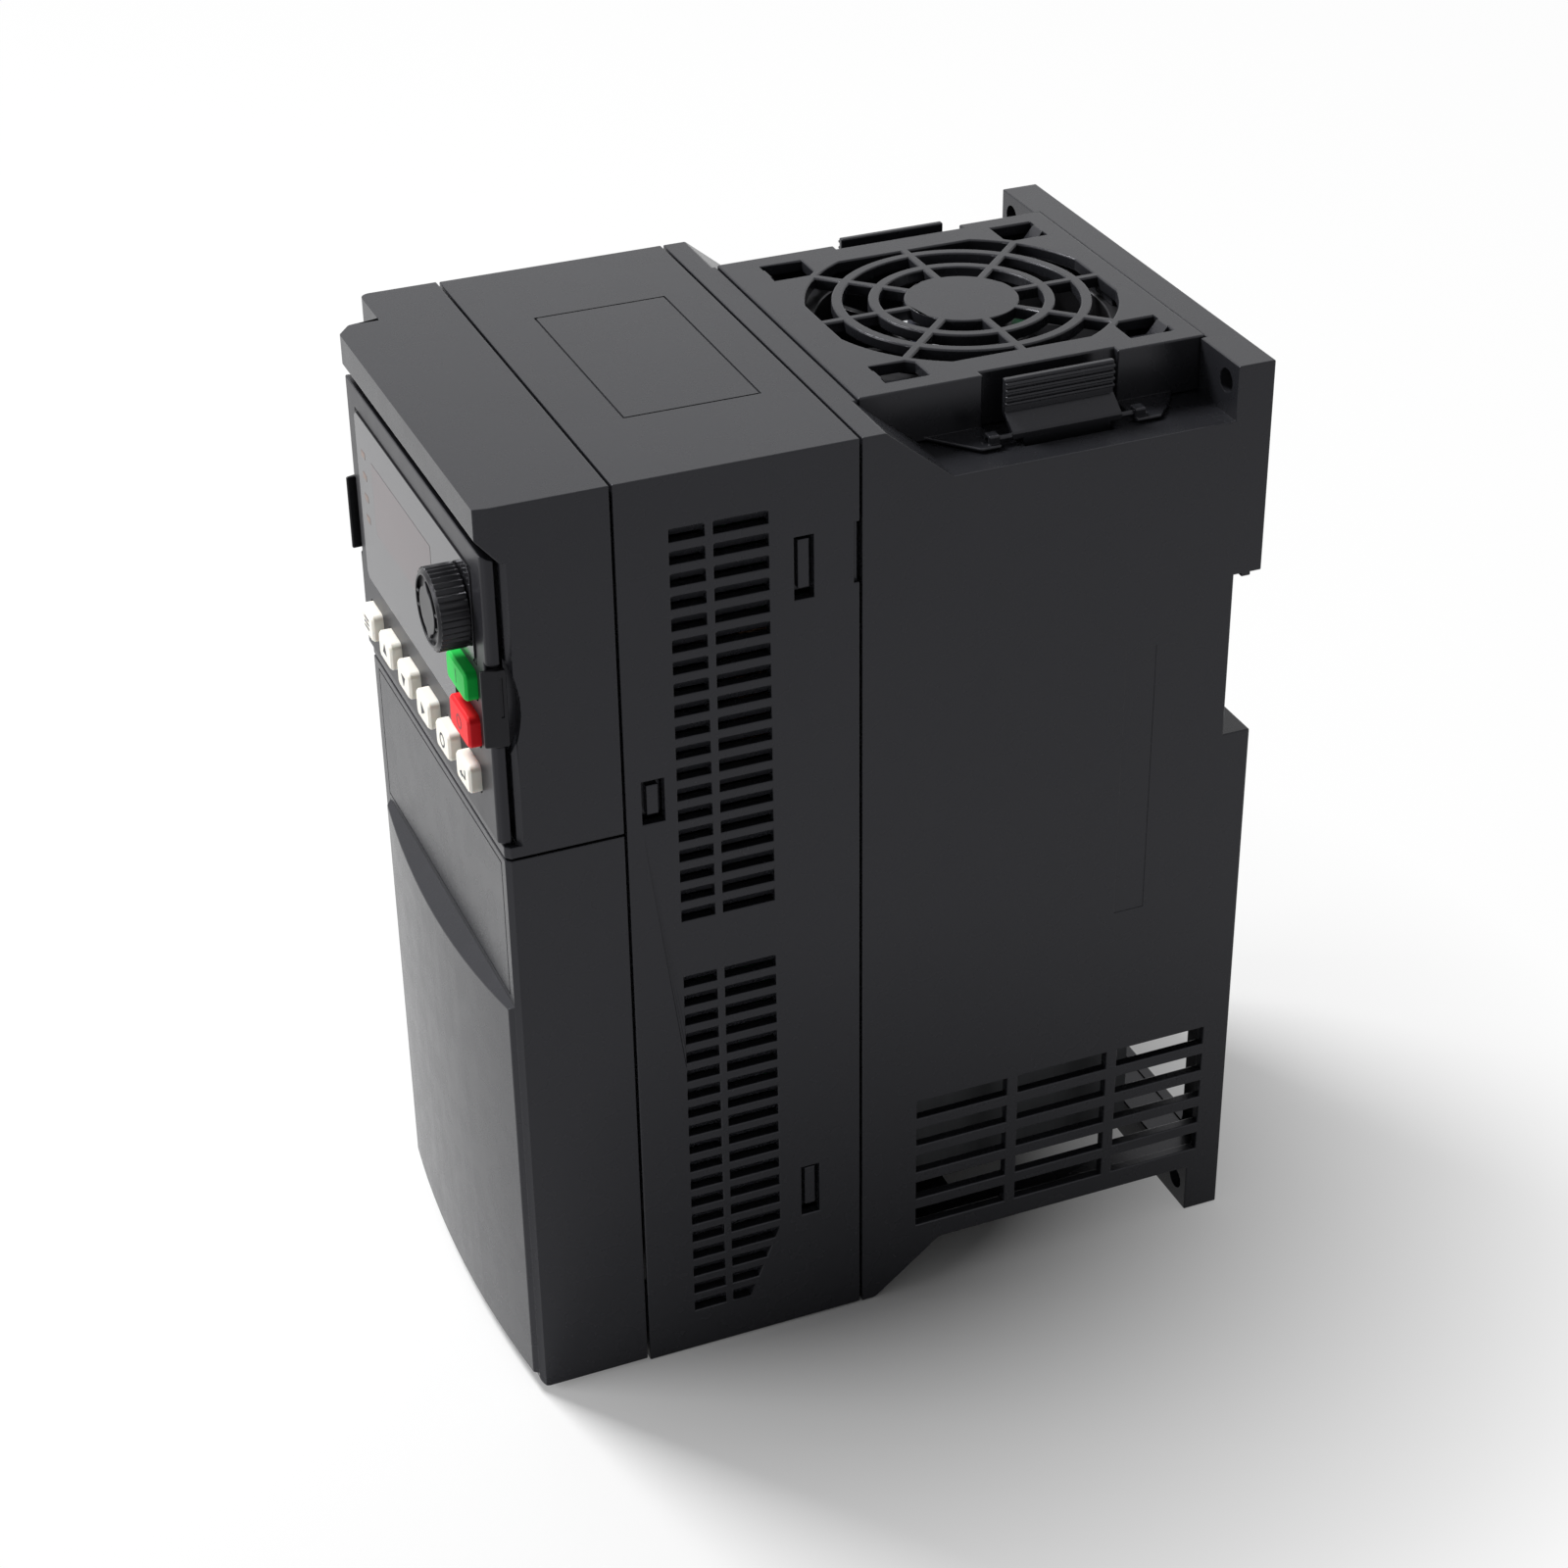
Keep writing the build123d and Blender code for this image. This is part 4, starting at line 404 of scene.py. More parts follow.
@dataclass(frozen=True)
class SolderMask:
    """Circuit board: solder mask over faint copper tracks."""

    name: str
    colour: Colour
    track_cells: float = 120.0
    track_width: float = 0.09
    track_rise: float = 0.03 * MM
    track_share: float = 0.6
    track_tone: float = 1.7
    roughness: float = 0.3

    def build(self) -> bpy.types.Material:
        """Make the material.

        Returns:
            The finished material.
        """
        sheet = NodeSheet.start(self.name)
        tracks = sheet.add("ShaderNodeTexBrick", Scale=self.track_cells,
                           Mortar_Size=self.track_width, Mortar_Smooth=0.0)
        place = sheet.add("ShaderNodeMapping", Rotation=(QUARTER, 0.0, 0.0))
        sheet.link(sheet.position(), place.inputs["Vector"])
        sheet.link(place.outputs["Vector"], tracks.inputs["Vector"])
        tone = sheet.ramp(tracks.outputs["Fac"], 0.0, 1.0, self.colour,
                          shade(self.colour, self.track_tone))
        normal = sheet.bump(tracks.outputs["Fac"], self.track_rise, self.track_share)
        shader = sheet.add("ShaderNodeBsdfPrincipled", Roughness=self.roughness)
        sheet.link(tone, shader.inputs["Base Color"])
        sheet.link(normal, shader.inputs["Normal"])
        return sheet.finish(shader)


@dataclass(frozen=True)
class Windings:
    """Enamelled wire wound round an axis along Z, with painted shade in the grooves between
    turns.
    """

    name: str
    colour: Colour
    pitch: float = 0.5 * MM
    wire_depth: float = 0.2 * MM
    wire_share: float = 0.8
    wander: float = 0.6
    # colour factor in the grooves between turns: painted shade
    groove_shade: float = 0.35
    metallic: float = 0.7
    roughness: float = 0.35

    def build(self) -> bpy.types.Material:
        """Make the material.

        Returns:
            The finished material.
        """
        sheet = NodeSheet.start(self.name)
        wave = sheet.add("ShaderNodeTexWave", wave_type="BANDS", bands_direction="Z",
                         Scale=1.0 / (self.pitch * math.tau), Distortion=self.wander)
        sheet.link(sheet.position(), wave.inputs["Vector"])
        # the grooves between turns are painted darker as painted shade, besides the bump that
        # shapes them
        tone = sheet.ramp(wave.outputs["Fac"], 0.1, 0.9, shade(self.colour, self.groove_shade),
                          self.colour)
        normal = sheet.bump(wave.outputs["Fac"], self.wire_depth, self.wire_share)
        shader = sheet.add("ShaderNodeBsdfPrincipled", Metallic=self.metallic,
                           Roughness=self.roughness)
        sheet.link(tone, shader.inputs["Base Color"])
        sheet.link(normal, shader.inputs["Normal"])
        return sheet.finish(shader)


class Finishes:
    """Every finish of the drive, made once."""

    def __init__(self) -> None:
        """Build the materials."""
        made = [
            MouldedPlastic("shell_black", (0.0165, 0.017, 0.02, 1.0), 0.27, specular=0.3),
            MouldedPlastic("keypad_black", (0.016, 0.016, 0.019, 1.0), 0.36, Grain.FINE, 0.28),
            MouldedPlastic("clip_black", (0.008, 0.008, 0.009, 1.0), 0.3, Grain.FINE, 0.22),
            MouldedPlastic("overlay_film", (0.014, 0.014, 0.016, 1.0), 0.13, Grain.FINE, 0.9),
            MouldedPlastic("display_window", (0.03, 0.006, 0.008, 1.0), 0.13, Grain.FINE, 0.9),
            MouldedPlastic("lamp_window", (0.12, 0.05, 0.02, 1.0), 0.2, Grain.SMOOTH),
            MouldedPlastic("knob_black", (0.008, 0.008, 0.009, 1.0), 0.3, Grain.FINE, 0.3),
            MouldedPlastic("fan_black", (0.012, 0.012, 0.013, 1.0), 0.36, Grain.FINE),
            MouldedPlastic("cream_key", (0.9, 0.87, 0.79, 1.0), 0.45, Grain.FINE, 0.35,
                           soft=0.25),
            MouldedPlastic("green_key", (0.004, 0.52, 0.065, 1.0), 0.5, Grain.FINE, 0.25),
            MouldedPlastic("red_key", (0.8, 0.007, 0.012, 1.0), 0.5, Grain.FINE, 0.25),
            MouldedPlastic("module_black", (0.02, 0.02, 0.02, 1.0), 0.5, Grain.SPARK),
            MouldedPlastic("terminal_green", (0.02, 0.26, 0.09, 1.0), 0.45, Grain.FINE),
            MouldedPlastic("capacitor_sleeve", (0.012, 0.016, 0.04, 1.0), 0.22, Grain.SMOOTH),
            MouldedPlastic("soft_rubber", (0.018, 0.018, 0.018, 1.0), 0.75, Grain.SPARK),
            MouldedPlastic("key_print", (0.03, 0.03, 0.035, 1.0), 0.5, Grain.FINE),
            MouldedPlastic("green_print", (0.003, 0.2, 0.04, 1.0), 0.5, Grain.FINE),
            MouldedPlastic("red_print", (0.28, 0.006, 0.008, 1.0), 0.5, Grain.FINE),
            MouldedPlastic("gap_shade", (0.003, 0.003, 0.003, 1.0), 0.6, Grain.FINE, 0.1),
            MouldedPlastic("label_dark", (0.016, 0.018, 0.03, 1.0), 0.3, Grain.SMOOTH),
            MouldedPlastic("label_silver", (0.72, 0.73, 0.75, 1.0), 0.35, Grain.SMOOTH),
            MouldedPlastic("label_green", (0.004, 0.4, 0.12, 1.0), 0.4, Grain.SMOOTH),
            # aluminium darkened far below bare metal: painted shade for the heat sink deep inside
            # the body
            Metal("cast_aluminium", (0.07, 0.072, 0.076, 1.0), 0.5),
            Metal("plated_steel", (0.62, 0.62, 0.60, 1.0), 0.26, (1.0, 1.0, 1.0)),
            Metal("sintered_bronze", (0.62, 0.42, 0.2, 1.0), 0.4, (1.0, 1.0, 1.0)),
            SolderMask("green_board", (0.006, 0.09, 0.03, 1.0)),
            Windings("enamelled_wire", (0.62, 0.27, 0.11, 1.0)),
        ]
        self.by_name: Dict[str, bpy.types.Material] = {f.name: f.build() for f in made}

    def __getitem__(self, name: str) -> bpy.types.Material:
        """Look up a material.

        Args:
            name: the finish's name.

        Returns:
            Its material.
        """
        return self.by_name[name]


# ---- Soft edges ----------------------------------------------------------------------


@dataclass(frozen=True)
class SoftEdges:
    """Rounds a moulding's outer edges, less where a narrow wall leaves little room."""

    width: float = 0.4 * MM
    least: float = 0.05 * MM
    share: float = 0.42         # of the clear width beside an edge
    level: float = 0.999        # how squarely a face looks along an axis to stay flat
    segments: int = 3
    weld: float = 0.001 * MM
    same_plane: float = 0.05    # degrees
    shade_crease: float = 28.0  # degrees
    evening_rounds: int = 3

    def copy(self, frame: dict, node: str) -> bpy.types.Object:
        """Make a rounded copy of a frame node that rides with it and stands for it.

        Args:
            frame: the loaded frame.
            node: the node's name.

        Returns:
            The new piece.
        """
        source = frame["nodes"][node]
        work = bmesh.new()
        work.from_mesh(source.data)
        bmesh.ops.remove_doubles(work, verts=work.verts, dist=self.weld)
        bmesh.ops.dissolve_limit(work, angle_limit=math.radians(self.same_plane),
                                 verts=work.verts, edges=work.edges,
                                 use_dissolve_boundaries=False)
        weight = work.edges.layers.float.new("bevel_weight_edge")
        for edge, radius in self.radii(work).items():
            if radius >= self.least:
                edge[weight] = radius / self.width
        bmesh.ops.triangulate(work, faces=work.faces, quad_method="BEAUTY",
                              ngon_method="BEAUTY")
        piece = new_piece(f"{node}_moulded", work, body_of(source)[0], [])
        piece.data.set_sharp_from_angle(angle=math.radians(self.shade_crease))
        for face in piece.data.polygons:
            face.use_smooth = max(abs(part) for part in face.normal) < self.level
        rounding = piece.modifiers.new("rounded_edges", "BEVEL")
        rounding.width = self.width
        rounding.segments = self.segments
        rounding.limit_method = "WEIGHT"
        rounding.use_clamp_overlap = False
        rounding.loop_slide = False
        rounding.face_strength_mode = "FSTR_ALL"
        flats = piece.modifiers.new("flat_faces_first", "WEIGHTED_NORMAL")
        flats.mode = "FACE_AREA_WITH_ANGLE"
        flats.keep_sharp = True
        flats.use_face_influence = True
        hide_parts(node)
        return piece

    def radii(self, work: bmesh.types.BMesh) -> Dict[bmesh.types.BMEdge, float]:
        """Radius of each outer edge, evened out along every smooth run of edges.

        Args:
            work: the merged mesh.

        Returns:
            Radius by edge, in metres.
        """
        limit = math.radians(CREASE)
        outer = [e for e in work.edges
                 if e.is_manifold and e.calc_face_angle_signed(0.0) > limit]
        found = {e: min(self.width, self.share * min(clear_width(e, f) for f in e.link_faces))
                 for e in outer}
        for _ in range(self.evening_rounds):
            evened = dict(found)
            for edge in outer:
                for vert in edge.verts:
                    for other in vert.link_edges:
                        if (other in found and other is not edge
                                and heading(edge, vert).dot(heading(other, vert)) < AHEAD):
                            evened[edge] = min(evened[edge], found[other])
            found = evened
        return found


def heading(edge: bmesh.types.BMEdge, vert: bmesh.types.BMVert) -> Vector:
    """Direction in which an edge leaves one of its ends.

    Args:
        edge: the edge.
        vert: the end that it leaves.

    Returns:
        The direction, one unit long.
    """
    return (edge.other_vert(vert).co - vert.co).normalized()


def clear_width(edge: bmesh.types.BMEdge, face: bmesh.types.BMFace) -> float:
    """Clear width of a face beside one of its edges.

    Args:
        edge: the edge.
        face: a face that it bounds.

    Returns:
        The width, in metres.
    """
    ends = edge.verts[0].co, edge.verts[1].co
    probes = [ends[0].lerp(ends[1], share) for share in (0.25, 0.5, 0.75)]
    width = math.inf
    for other in face.edges:
        if other is edge:
            continue
        shared = [v for v in other.verts if v in edge.verts]
        if shared:
            turn = heading(edge, shared[0]).dot(heading(other, shared[0]))
            if turn > AHEAD:
                width = min(width, other.calc_length() * math.sqrt(max(0.0, 1.0 - turn * turn)))
            continue
        far = other.verts[0].co, other.verts[1].co
        width = min([width] + [off_line(p, far) for p in probes]
                    + [off_line(p, ends) for p in far])
    return width


def off_line(point: Vector, ends: Sequence[Vector]) -> float:
    """Distance of a point from the straight line between two ends.

    Args:
        point: the point.
        ends: the line's ends.

    Returns:
        The distance, in metres.
    """
    near, along = intersect_point_line(point, ends[0], ends[1])
    if along < 0.0:
        near = ends[0]
    elif along > 1.0:
        near = ends[1]
    return (point - near).length


def new_piece(name: str, work: bmesh.types.BMesh, body: str,
              coats: Sequence[bpy.types.Material]) -> bpy.types.Object:
    """Turn a finished bmesh into a piece that rides on a body.

    Args:
        name: the piece's name.
        work: its mesh, which is freed here.
        body: the body that carries it.
        coats: its materials, by the faces' material numbers.

    Returns:
        The piece.
    """
    mesh = bpy.data.meshes.new(name)
    work.to_mesh(mesh)
    work.free()
    for coat in coats:
        mesh.materials.append(coat)
    piece = bpy.data.objects.new(name, mesh)
    bpy.context.scene.collection.objects.link(piece)
    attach(piece, body)
    log.info("%s made with %d faces", name, len(mesh.polygons))
    return piece


# ---- Pieces --------------------------------------------------------------------------


@dataclass
class Assembly:
    """A group of frame nodes that one class dresses."""

    frame: dict
    finishes: Finishes
    coats: Dict[str, str] = field(default_factory=dict)
    rounded: Dict[str, float] = field(default_factory=dict)
    least: float = 0.05 * MM

    def dress(self) -> None:
        """Give each node of the group its finish, on a rounded copy where it has one."""
        for node, finish in self.coats.items():
            piece = self.frame["nodes"][node]
            if node in self.rounded:
                piece = SoftEdges(self.rounded[node], self.least).copy(self.frame, node)
            piece.data.materials.clear()
            piece.data.materials.append(self.finishes[finish])
            log.info("%s finished as %s", node, finish)

    def build(self) -> None:
        """Make the pieces that the frame leaves out; a group may have none."""

    def add(self, name: str, bench: "Bench", body: str, slot: str,
            finishes: Sequence[str]) -> bpy.types.Object:
        """Turn a bench's mesh into a piece.

        Args:
            name: the piece's name.
            bench: the bench that holds its mesh.
            body: the body that carries it.
            slot: the record's material slot meant for the piece; not used.
            finishes: names of its finishes, by the bench's coat numbers.

        Returns:
            The piece.
        """
        piece = new_piece(name, bench.work, body, [self.finishes[f] for f in finishes])
        piece.data.set_sharp_from_angle(angle=math.radians(CREASE))
        return piece


@dataclass
class Bench:
    """Mesh of one piece, made of operator shapes that face along one direction."""

    facing: Matrix = field(default_factory=lambda: Matrix.Identity(4))
    work: bmesh.types.BMesh = field(default_factory=bmesh.new)
    corner: float = 0.6     # radians: edges that turn more than this are rounded

    @staticmethod
    def to_front() -> "Bench":
        """Make a bench whose shapes stand out towards the front of the drive.

        Returns:
            The bench, with its X to the right, Y up and Z forward.
        """
        return Bench(Matrix.Rotation(QUARTER, 4, "X"))

    def settle(self, verts: Sequence[bmesh.types.BMVert], coat: int, soft: float) -> None:
        """Coat, round and place the shape that was just made.

        Args:
            verts: the shape's vertices.
            coat: material number of its faces.
            soft: radius of its edges, or 0 to leave them sharp.
        """
        for face in {f for v in verts for f in v.link_faces}:
            face.material_index = coat
            face.smooth = True
        bmesh.ops.transform(self.work, matrix=self.facing, verts=verts)
        if soft > 0.0:
            edges = [e for e in {e for v in verts for e in v.link_edges}
                     if e.is_manifold and e.calc_face_angle(0.0) > self.corner]
            bmesh.ops.bevel(self.work, geom=edges, offset=soft, segments=2, profile=0.5,
                            affect="EDGES", material=-1, clamp_overlap=True)

    def box(self, size: Point, foot: Point, coat: int = 0, soft: float = 0.0) -> None:
        """Add a block that stands on a point.

        Args:
            size: width, height across the face, and depth along the facing direction.
            foot: middle of its back face.
            coat: material number.
            soft: radius of its edges.
        """
        verts = bmesh.ops.create_cube(self.work, size=1.0)["verts"]
        bmesh.ops.scale(self.work, vec=size, verts=verts)
        middle = (foot[0], foot[1], foot[2] + size[2] / 2)
        bmesh.ops.translate(self.work, vec=middle, verts=verts)
        self.settle(verts, coat, soft)

    def disc(self, radius: float, depth: float, foot: Point, coat: int = 0,
             soft: float = 0.0, segments: int = 24, turn: float = 0.0) -> None:
        """Add a round or regular flat-sided block that stands on a point.

        Args:
            radius: outer radius.
            depth: depth along the facing direction.
            foot: middle of its back face.
            coat: material number.
            soft: radius of its edges.
            segments: number of sides.
            turn: turn about its own axis, in radians.
        """
        face = bmesh.ops.create_circle(self.work, cap_ends=True, radius=radius,
                                       segments=segments)["verts"]
        grown = bmesh.ops.extrude_face_region(self.work, geom=list(face[0].link_faces))["geom"]
        top = [g for g in grown if isinstance(g, bmesh.types.BMVert)]
        bmesh.ops.translate(self.work, vec=(0.0, 0.0, depth), verts=top)
        verts = list(face) + top
        bmesh.ops.recalc_face_normals(self.work, faces=list({f for v in verts
                                                             for f in v.link_faces}))
        bmesh.ops.rotate(self.work, matrix=Matrix.Rotation(turn, 3, "Z"), verts=verts)
        bmesh.ops.translate(self.work, vec=foot, verts=verts)
        self.settle(verts, coat, soft)

    def ring(self, inner: float, outer: float, depth: float, foot: Point, coat: int = 0,
             start: float = 0.0, sweep: float = 360.0, steps: int = 48) -> None:
        """Add a flat ring, or an arc of one, by spinning its section.

        Args:
            inner: inner radius.
            outer: outer radius.
            depth: depth along the facing direction.
            foot: middle of its back face.
            coat: material number.
            start: angle of its first end, in degrees.
            sweep: angle that it covers, in degrees.
            steps: number of steps of the spin.
        """
        corners = [self.work.verts.new(c) for c in ((inner, 0.0, 0.0), (outer, 0.0, 0.0),
                                                     (outer, 0.0, depth), (inner, 0.0, depth))]
        section = self.work.faces.new(corners)
        bmesh.ops.rotate(self.work, matrix=Matrix.Rotation(math.radians(start), 3, "Z"),
                         verts=corners)
        whole = sweep >= 360.0
        known = set(self.work.verts) - set(corners)
        bmesh.ops.spin(self.work, geom=[section] + list(section.edges) + corners,
                       cent=(0.0, 0.0, 0.0), axis=(0.0, 0.0, 1.0), dvec=(0.0, 0.0, 0.0),
                       angle=math.radians(sweep), steps=steps, use_merge=whole)
        verts = [v for v in self.work.verts if v not in known]
        faces = list({f for v in verts for f in v.link_faces})
        if whole:
            inside = [f for f in faces if all(len(e.link_faces) > 2 for e in f.edges)]
            bmesh.ops.delete(self.work, geom=inside, context="FACES_ONLY")
            faces = list({f for v in verts for f in v.link_faces})
        bmesh.ops.recalc_face_normals(self.work, faces=faces)
        bmesh.ops.translate(self.work, vec=foot, verts=verts)
        self.settle(verts, coat, 0.0)


@dataclass
class Shells(Assembly):
    """The moulded body: rear housing, middle frame, covers and the rail latch."""

    coats: Dict[str, str] = field(default_factory=lambda: {
        "rear_housing": "shell_black",
        "mid_frame": "shell_black",
        "upper_cover": "shell_black",
        "lower_cover": "shell_black",
        "rail_latch": "module_black",
        "cable_plate": "module_black",
        "cable_grommets": "soft_rubber",
    })
    rounded: Dict[str, float] = field(default_factory=lambda: dict.fromkeys(
        ("rear_housing", "mid_frame", "upper_cover", "lower_cover", "rail_latch",
         "cable_plate"), SHELL_RADIUS))
    least: float = SHELL_RADIUS


class Sign(Enum):
    """A plain sign printed on a key."""

    MENU = "three bars"
    UP = "triangle up"
    DOWN = "triangle down"
    RIGHT = "triangle to the right"
    RING = "ring"
    BAR = "upright bar"
    ENTER = "cornered arrow"


@dataclass(frozen=True)
class SignPrinter:
    """Prints signs of one size and line width."""

    half: float = 1.5 * MM
    line: float = 0.45 * MM
    depth: float = 0.03 * MM
    bar_pitch: float = 2.2          # in line widths
    bar_tall: float = 2.8 * MM
    arrow_drop: float = 0.7 * MM                        # of the shaft, below the middle
    arrow_shaft: Pair = (0.4 * MM, 2.4 * MM)            # middle and length
    arrow_stem: Point = (1.4 * MM, 0.1 * MM, 1.9 * MM)  # middle across and up, and length
    arrow_head: Pair = (-1.0 * MM, 0.9 * MM)            # middle and radius

    def draw(self, sign: Sign, bench: Bench, place: Point) -> None:
        """Draw a sign.

        Args:
            sign: what is drawn.
            bench: the bench that it is drawn on.
            place: its middle.
        """
        turns = {Sign.UP: 0.0, Sign.DOWN: math.pi, Sign.RIGHT: -QUARTER}
        if sign in turns:
            bench.disc(self.half, self.depth, place, segments=3, turn=turns[sign])
        elif sign is Sign.RING:
            bench.ring(self.half - self.line, self.half, self.depth, place, steps=32)
        elif sign is Sign.BAR:
            bench.box((self.line, self.bar_tall, self.depth), place)
        elif sign is Sign.MENU:
            for step in (-1, 0, 1):
                bench.box((2 * self.half, self.line, self.depth),
                          (place[0], place[1] + step * self.bar_pitch * self.line, place[2]))
        else:
            self.draw_arrow(bench, place)

    def draw_arrow(self, bench: Bench, place: Point) -> None:
        """Draw a cornered arrow that points back to the left.

        Args:
            bench: the bench that it is drawn on.
            place: its middle.
        """
        x, y, z = place
        low = y - self.arrow_drop
        shaft, stem, head = self.arrow_shaft, self.arrow_stem, self.arrow_head
        bench.box((shaft[1], self.line, self.depth), (x + shaft[0], low, z))
        bench.box((self.line, stem[2], self.depth), (x + stem[0], y + stem[1], z))
        bench.disc(head[1], self.depth, (x + head[0], low, z), segments=3, turn=QUARTER)


@dataclass
class Keypad(Assembly):
    """The plug-in keypad with its keys, knob and clips."""

    coats: Dict[str, str] = field(default_factory=lambda: {
        "keypad_case": "keypad_black",
        "keypad_back": "keypad_black",
        "keypad_clip_right": "clip_black",
        "keypad_clip_left": "clip_black",
        "keypad_overlay": "overlay_film",
        "keypad_plug": "module_black",
        "keypad_board": "green_board",
        "key_mat": "soft_rubber",
        "display_module": "display_window",
        "potentiometer": "module_black",
        "pot_shaft": "plated_steel",
        "knob": "knob_black",
        "run_key": "green_key",
        "stop_key": "red_key",
        **dict.fromkeys(WHITE_KEYS, "cream_key"),
    })
    rounded: Dict[str, float] = field(default_factory=lambda: {
        "keypad_case": 0.35 * MM,
        "keypad_clip_right": 0.4 * MM,
        "keypad_clip_left": 0.4 * MM,
        "knob": 0.2 * MM,
        **dict.fromkeys(("run_key", "stop_key") + WHITE_KEYS, 0.35 * MM),
    })
    printer: SignPrinter = SignPrinter()
    # width of the dark line round the film, which is painted shade for the gap between film and
    # case
    gap_shade_width: float = 0.35 * MM
    step_room: Pair = (1.2 * MM, 1.4 * MM)
    window_size: Pair = (38.0 * MM, 15.0 * MM)
    window_inset: Pair = (10.0 * MM, 7.0 * MM)      # from the film's left and top
    lamp_size: Pair = (2.4 * MM, 1.3 * MM)
    lamp_inset: float = 4.5 * MM
    lamp_pitch: float = 4.6 * MM
    lamps: int = 4

    def build(self) -> None:
        """Print the keys' signs and the film's windows, and paint the shade of the gap round the
        film.
        """
        for node, sign in zip(WHITE_KEYS, (Sign.MENU, Sign.UP, Sign.DOWN, Sign.RIGHT,
                                           Sign.RING, Sign.ENTER)):
            self.print_sign(node, sign, "key_print")
        self.print_sign("run_key", Sign.BAR, "green_print")
        self.print_sign("stop_key", Sign.RING, "red_print")
        self.paint_gap_shade()
        self.draw_windows()

    def print_sign(self, node: str, sign: Sign, ink: str) -> None:
        """Print one sign on the middle of a key.

        Args:
            node: the key.
            sign: what is printed.
            ink: finish of the print.
        """
        low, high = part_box(node)
        bench = Bench.to_front()
        place = ((low[0] + high[0]) / 2, (low[2] + high[2]) / 2, -low[1])
        self.printer.draw(sign, bench, place)
        self.add(f"{node}_sign", bench, body_of(self.frame["nodes"][node])[0],
                 "cream_key", [ink])

    def paint_gap_shade(self) -> None:
        """Lay a thin dark line round the film, which steps round the coloured keys: painted shade
        for the shadowed gap between film and case.
        """
        low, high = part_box("keypad_overlay")
        key_low, key_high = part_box("run_key")
        bench = Bench.to_front()
        edge = self.gap_shade_width
        step_x = key_low[0] - self.step_room[0]
        step_z = key_high[2] + self.step_room[1]
        for x0, x1, z0, z1 in (
                (low[0] - edge, high[0] + edge, high[2], high[2] + edge),
                (low[0] - edge, low[0], low[2], high[2]),
                (low[0] - edge, step_x + edge, low[2] - edge, low[2]),
                (step_x, step_x + edge, low[2], step_z - edge),
                (step_x, high[0] + edge, step_z - edge, step_z),
                (high[0], high[0] + edge, step_z, high[2])):
            bench.box((x1 - x0, z1 - z0, self.printer.depth),
                      ((x0 + x1) / 2, (z0 + z1) / 2, -high[1]))
        # the gap's shadow is painted as a dark strip along the film's edge
        self.add("film_gap", bench, "keypad", "dark_moulding", ["gap_shade"])

    def draw_windows(self) -> None:
        """Print the blank display window and the column of lamp windows on the film."""
        low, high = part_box("keypad_overlay")
        bench = Bench.to_front()
        z = high[2] - self.window_inset[1] - self.window_size[1] / 2
        place = (low[0] + self.window_inset[0] + self.window_size[0] / 2, z, -low[1])
        bench.box((*self.window_size, self.printer.depth), place, 0)
        for step in range(self.lamps):
            lamp = (low[0] + self.lamp_inset,
                    z + (step - (self.lamps - 1) / 2) * self.lamp_pitch, -low[1])
            bench.box((*self.lamp_size, self.printer.depth), lamp, 1)
        self.add("film_windows", bench, "keypad", "display_glass",
                 ["display_window", "lamp_window"])


@dataclass
class FanUnit(Assembly):
    """The fan, its cover and the two squeeze latches."""

    coats: Dict[str, str] = field(default_factory=lambda: {
        "fan_cover": "shell_black",
        "fan_latch_right": "shell_black",
        "fan_latch_left": "shell_black",
        "fan_frame": "fan_black",
        "fan_rotor": "fan_black",
        "fan_bearing": "sintered_bronze",
        "fan_stator": "enamelled_wire",
    })
    rounded: Dict[str, float] = field(default_factory=lambda: {
        "fan_cover": 0.35 * MM,
        "fan_latch_right": 0.3 * MM,
        "fan_latch_left": 0.3 * MM,
        "fan_frame": 0.4 * MM,
        "fan_rotor": 0.25 * MM,
    })
    label_r: float = 13.2 * MM
    label_t: float = 0.12 * MM
    band: Pair = (10.4 * MM, 12.4 * MM)
    band_t: float = 0.03 * MM
    mark_in: float = 0.6 * MM       # how far the green mark reaches in past the band
    mark_start: float = 58.0        # degrees
    mark_sweep: float = 26.0

    def build(self) -> None:
        """Stick the plain round label on the fan's hub."""
        low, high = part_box("fan_stator")
        x = (low[0] + high[0]) / 2
        y = (low[1] + high[1]) / 2
        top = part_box("fan_rotor")[1][2]
        bench = Bench()
        bench.disc(self.label_r, self.label_t, (x, y, top), 0, segments=48)
        bench.ring(self.band[0], self.band[1], self.band_t, (x, y, top + self.label_t), 1)
        bench.ring(self.band[0] - self.mark_in, self.band[1], 2 * self.band_t,
                   (x, y, top + self.label_t), 2, self.mark_start, self.mark_sweep, steps=8)
        self.add("fan_hub_label", bench, "fan_spinner", "fan_black",
                 ["label_dark", "label_silver", "label_green"])


@dataclass(frozen=True)
class Package:
    """Block of a chip and its two rows of legs, in millimetres."""

    size: Point
    soft: float
    row_off: float          # from the middle to a row of legs
    legs: int               # in a row
    pitch: float


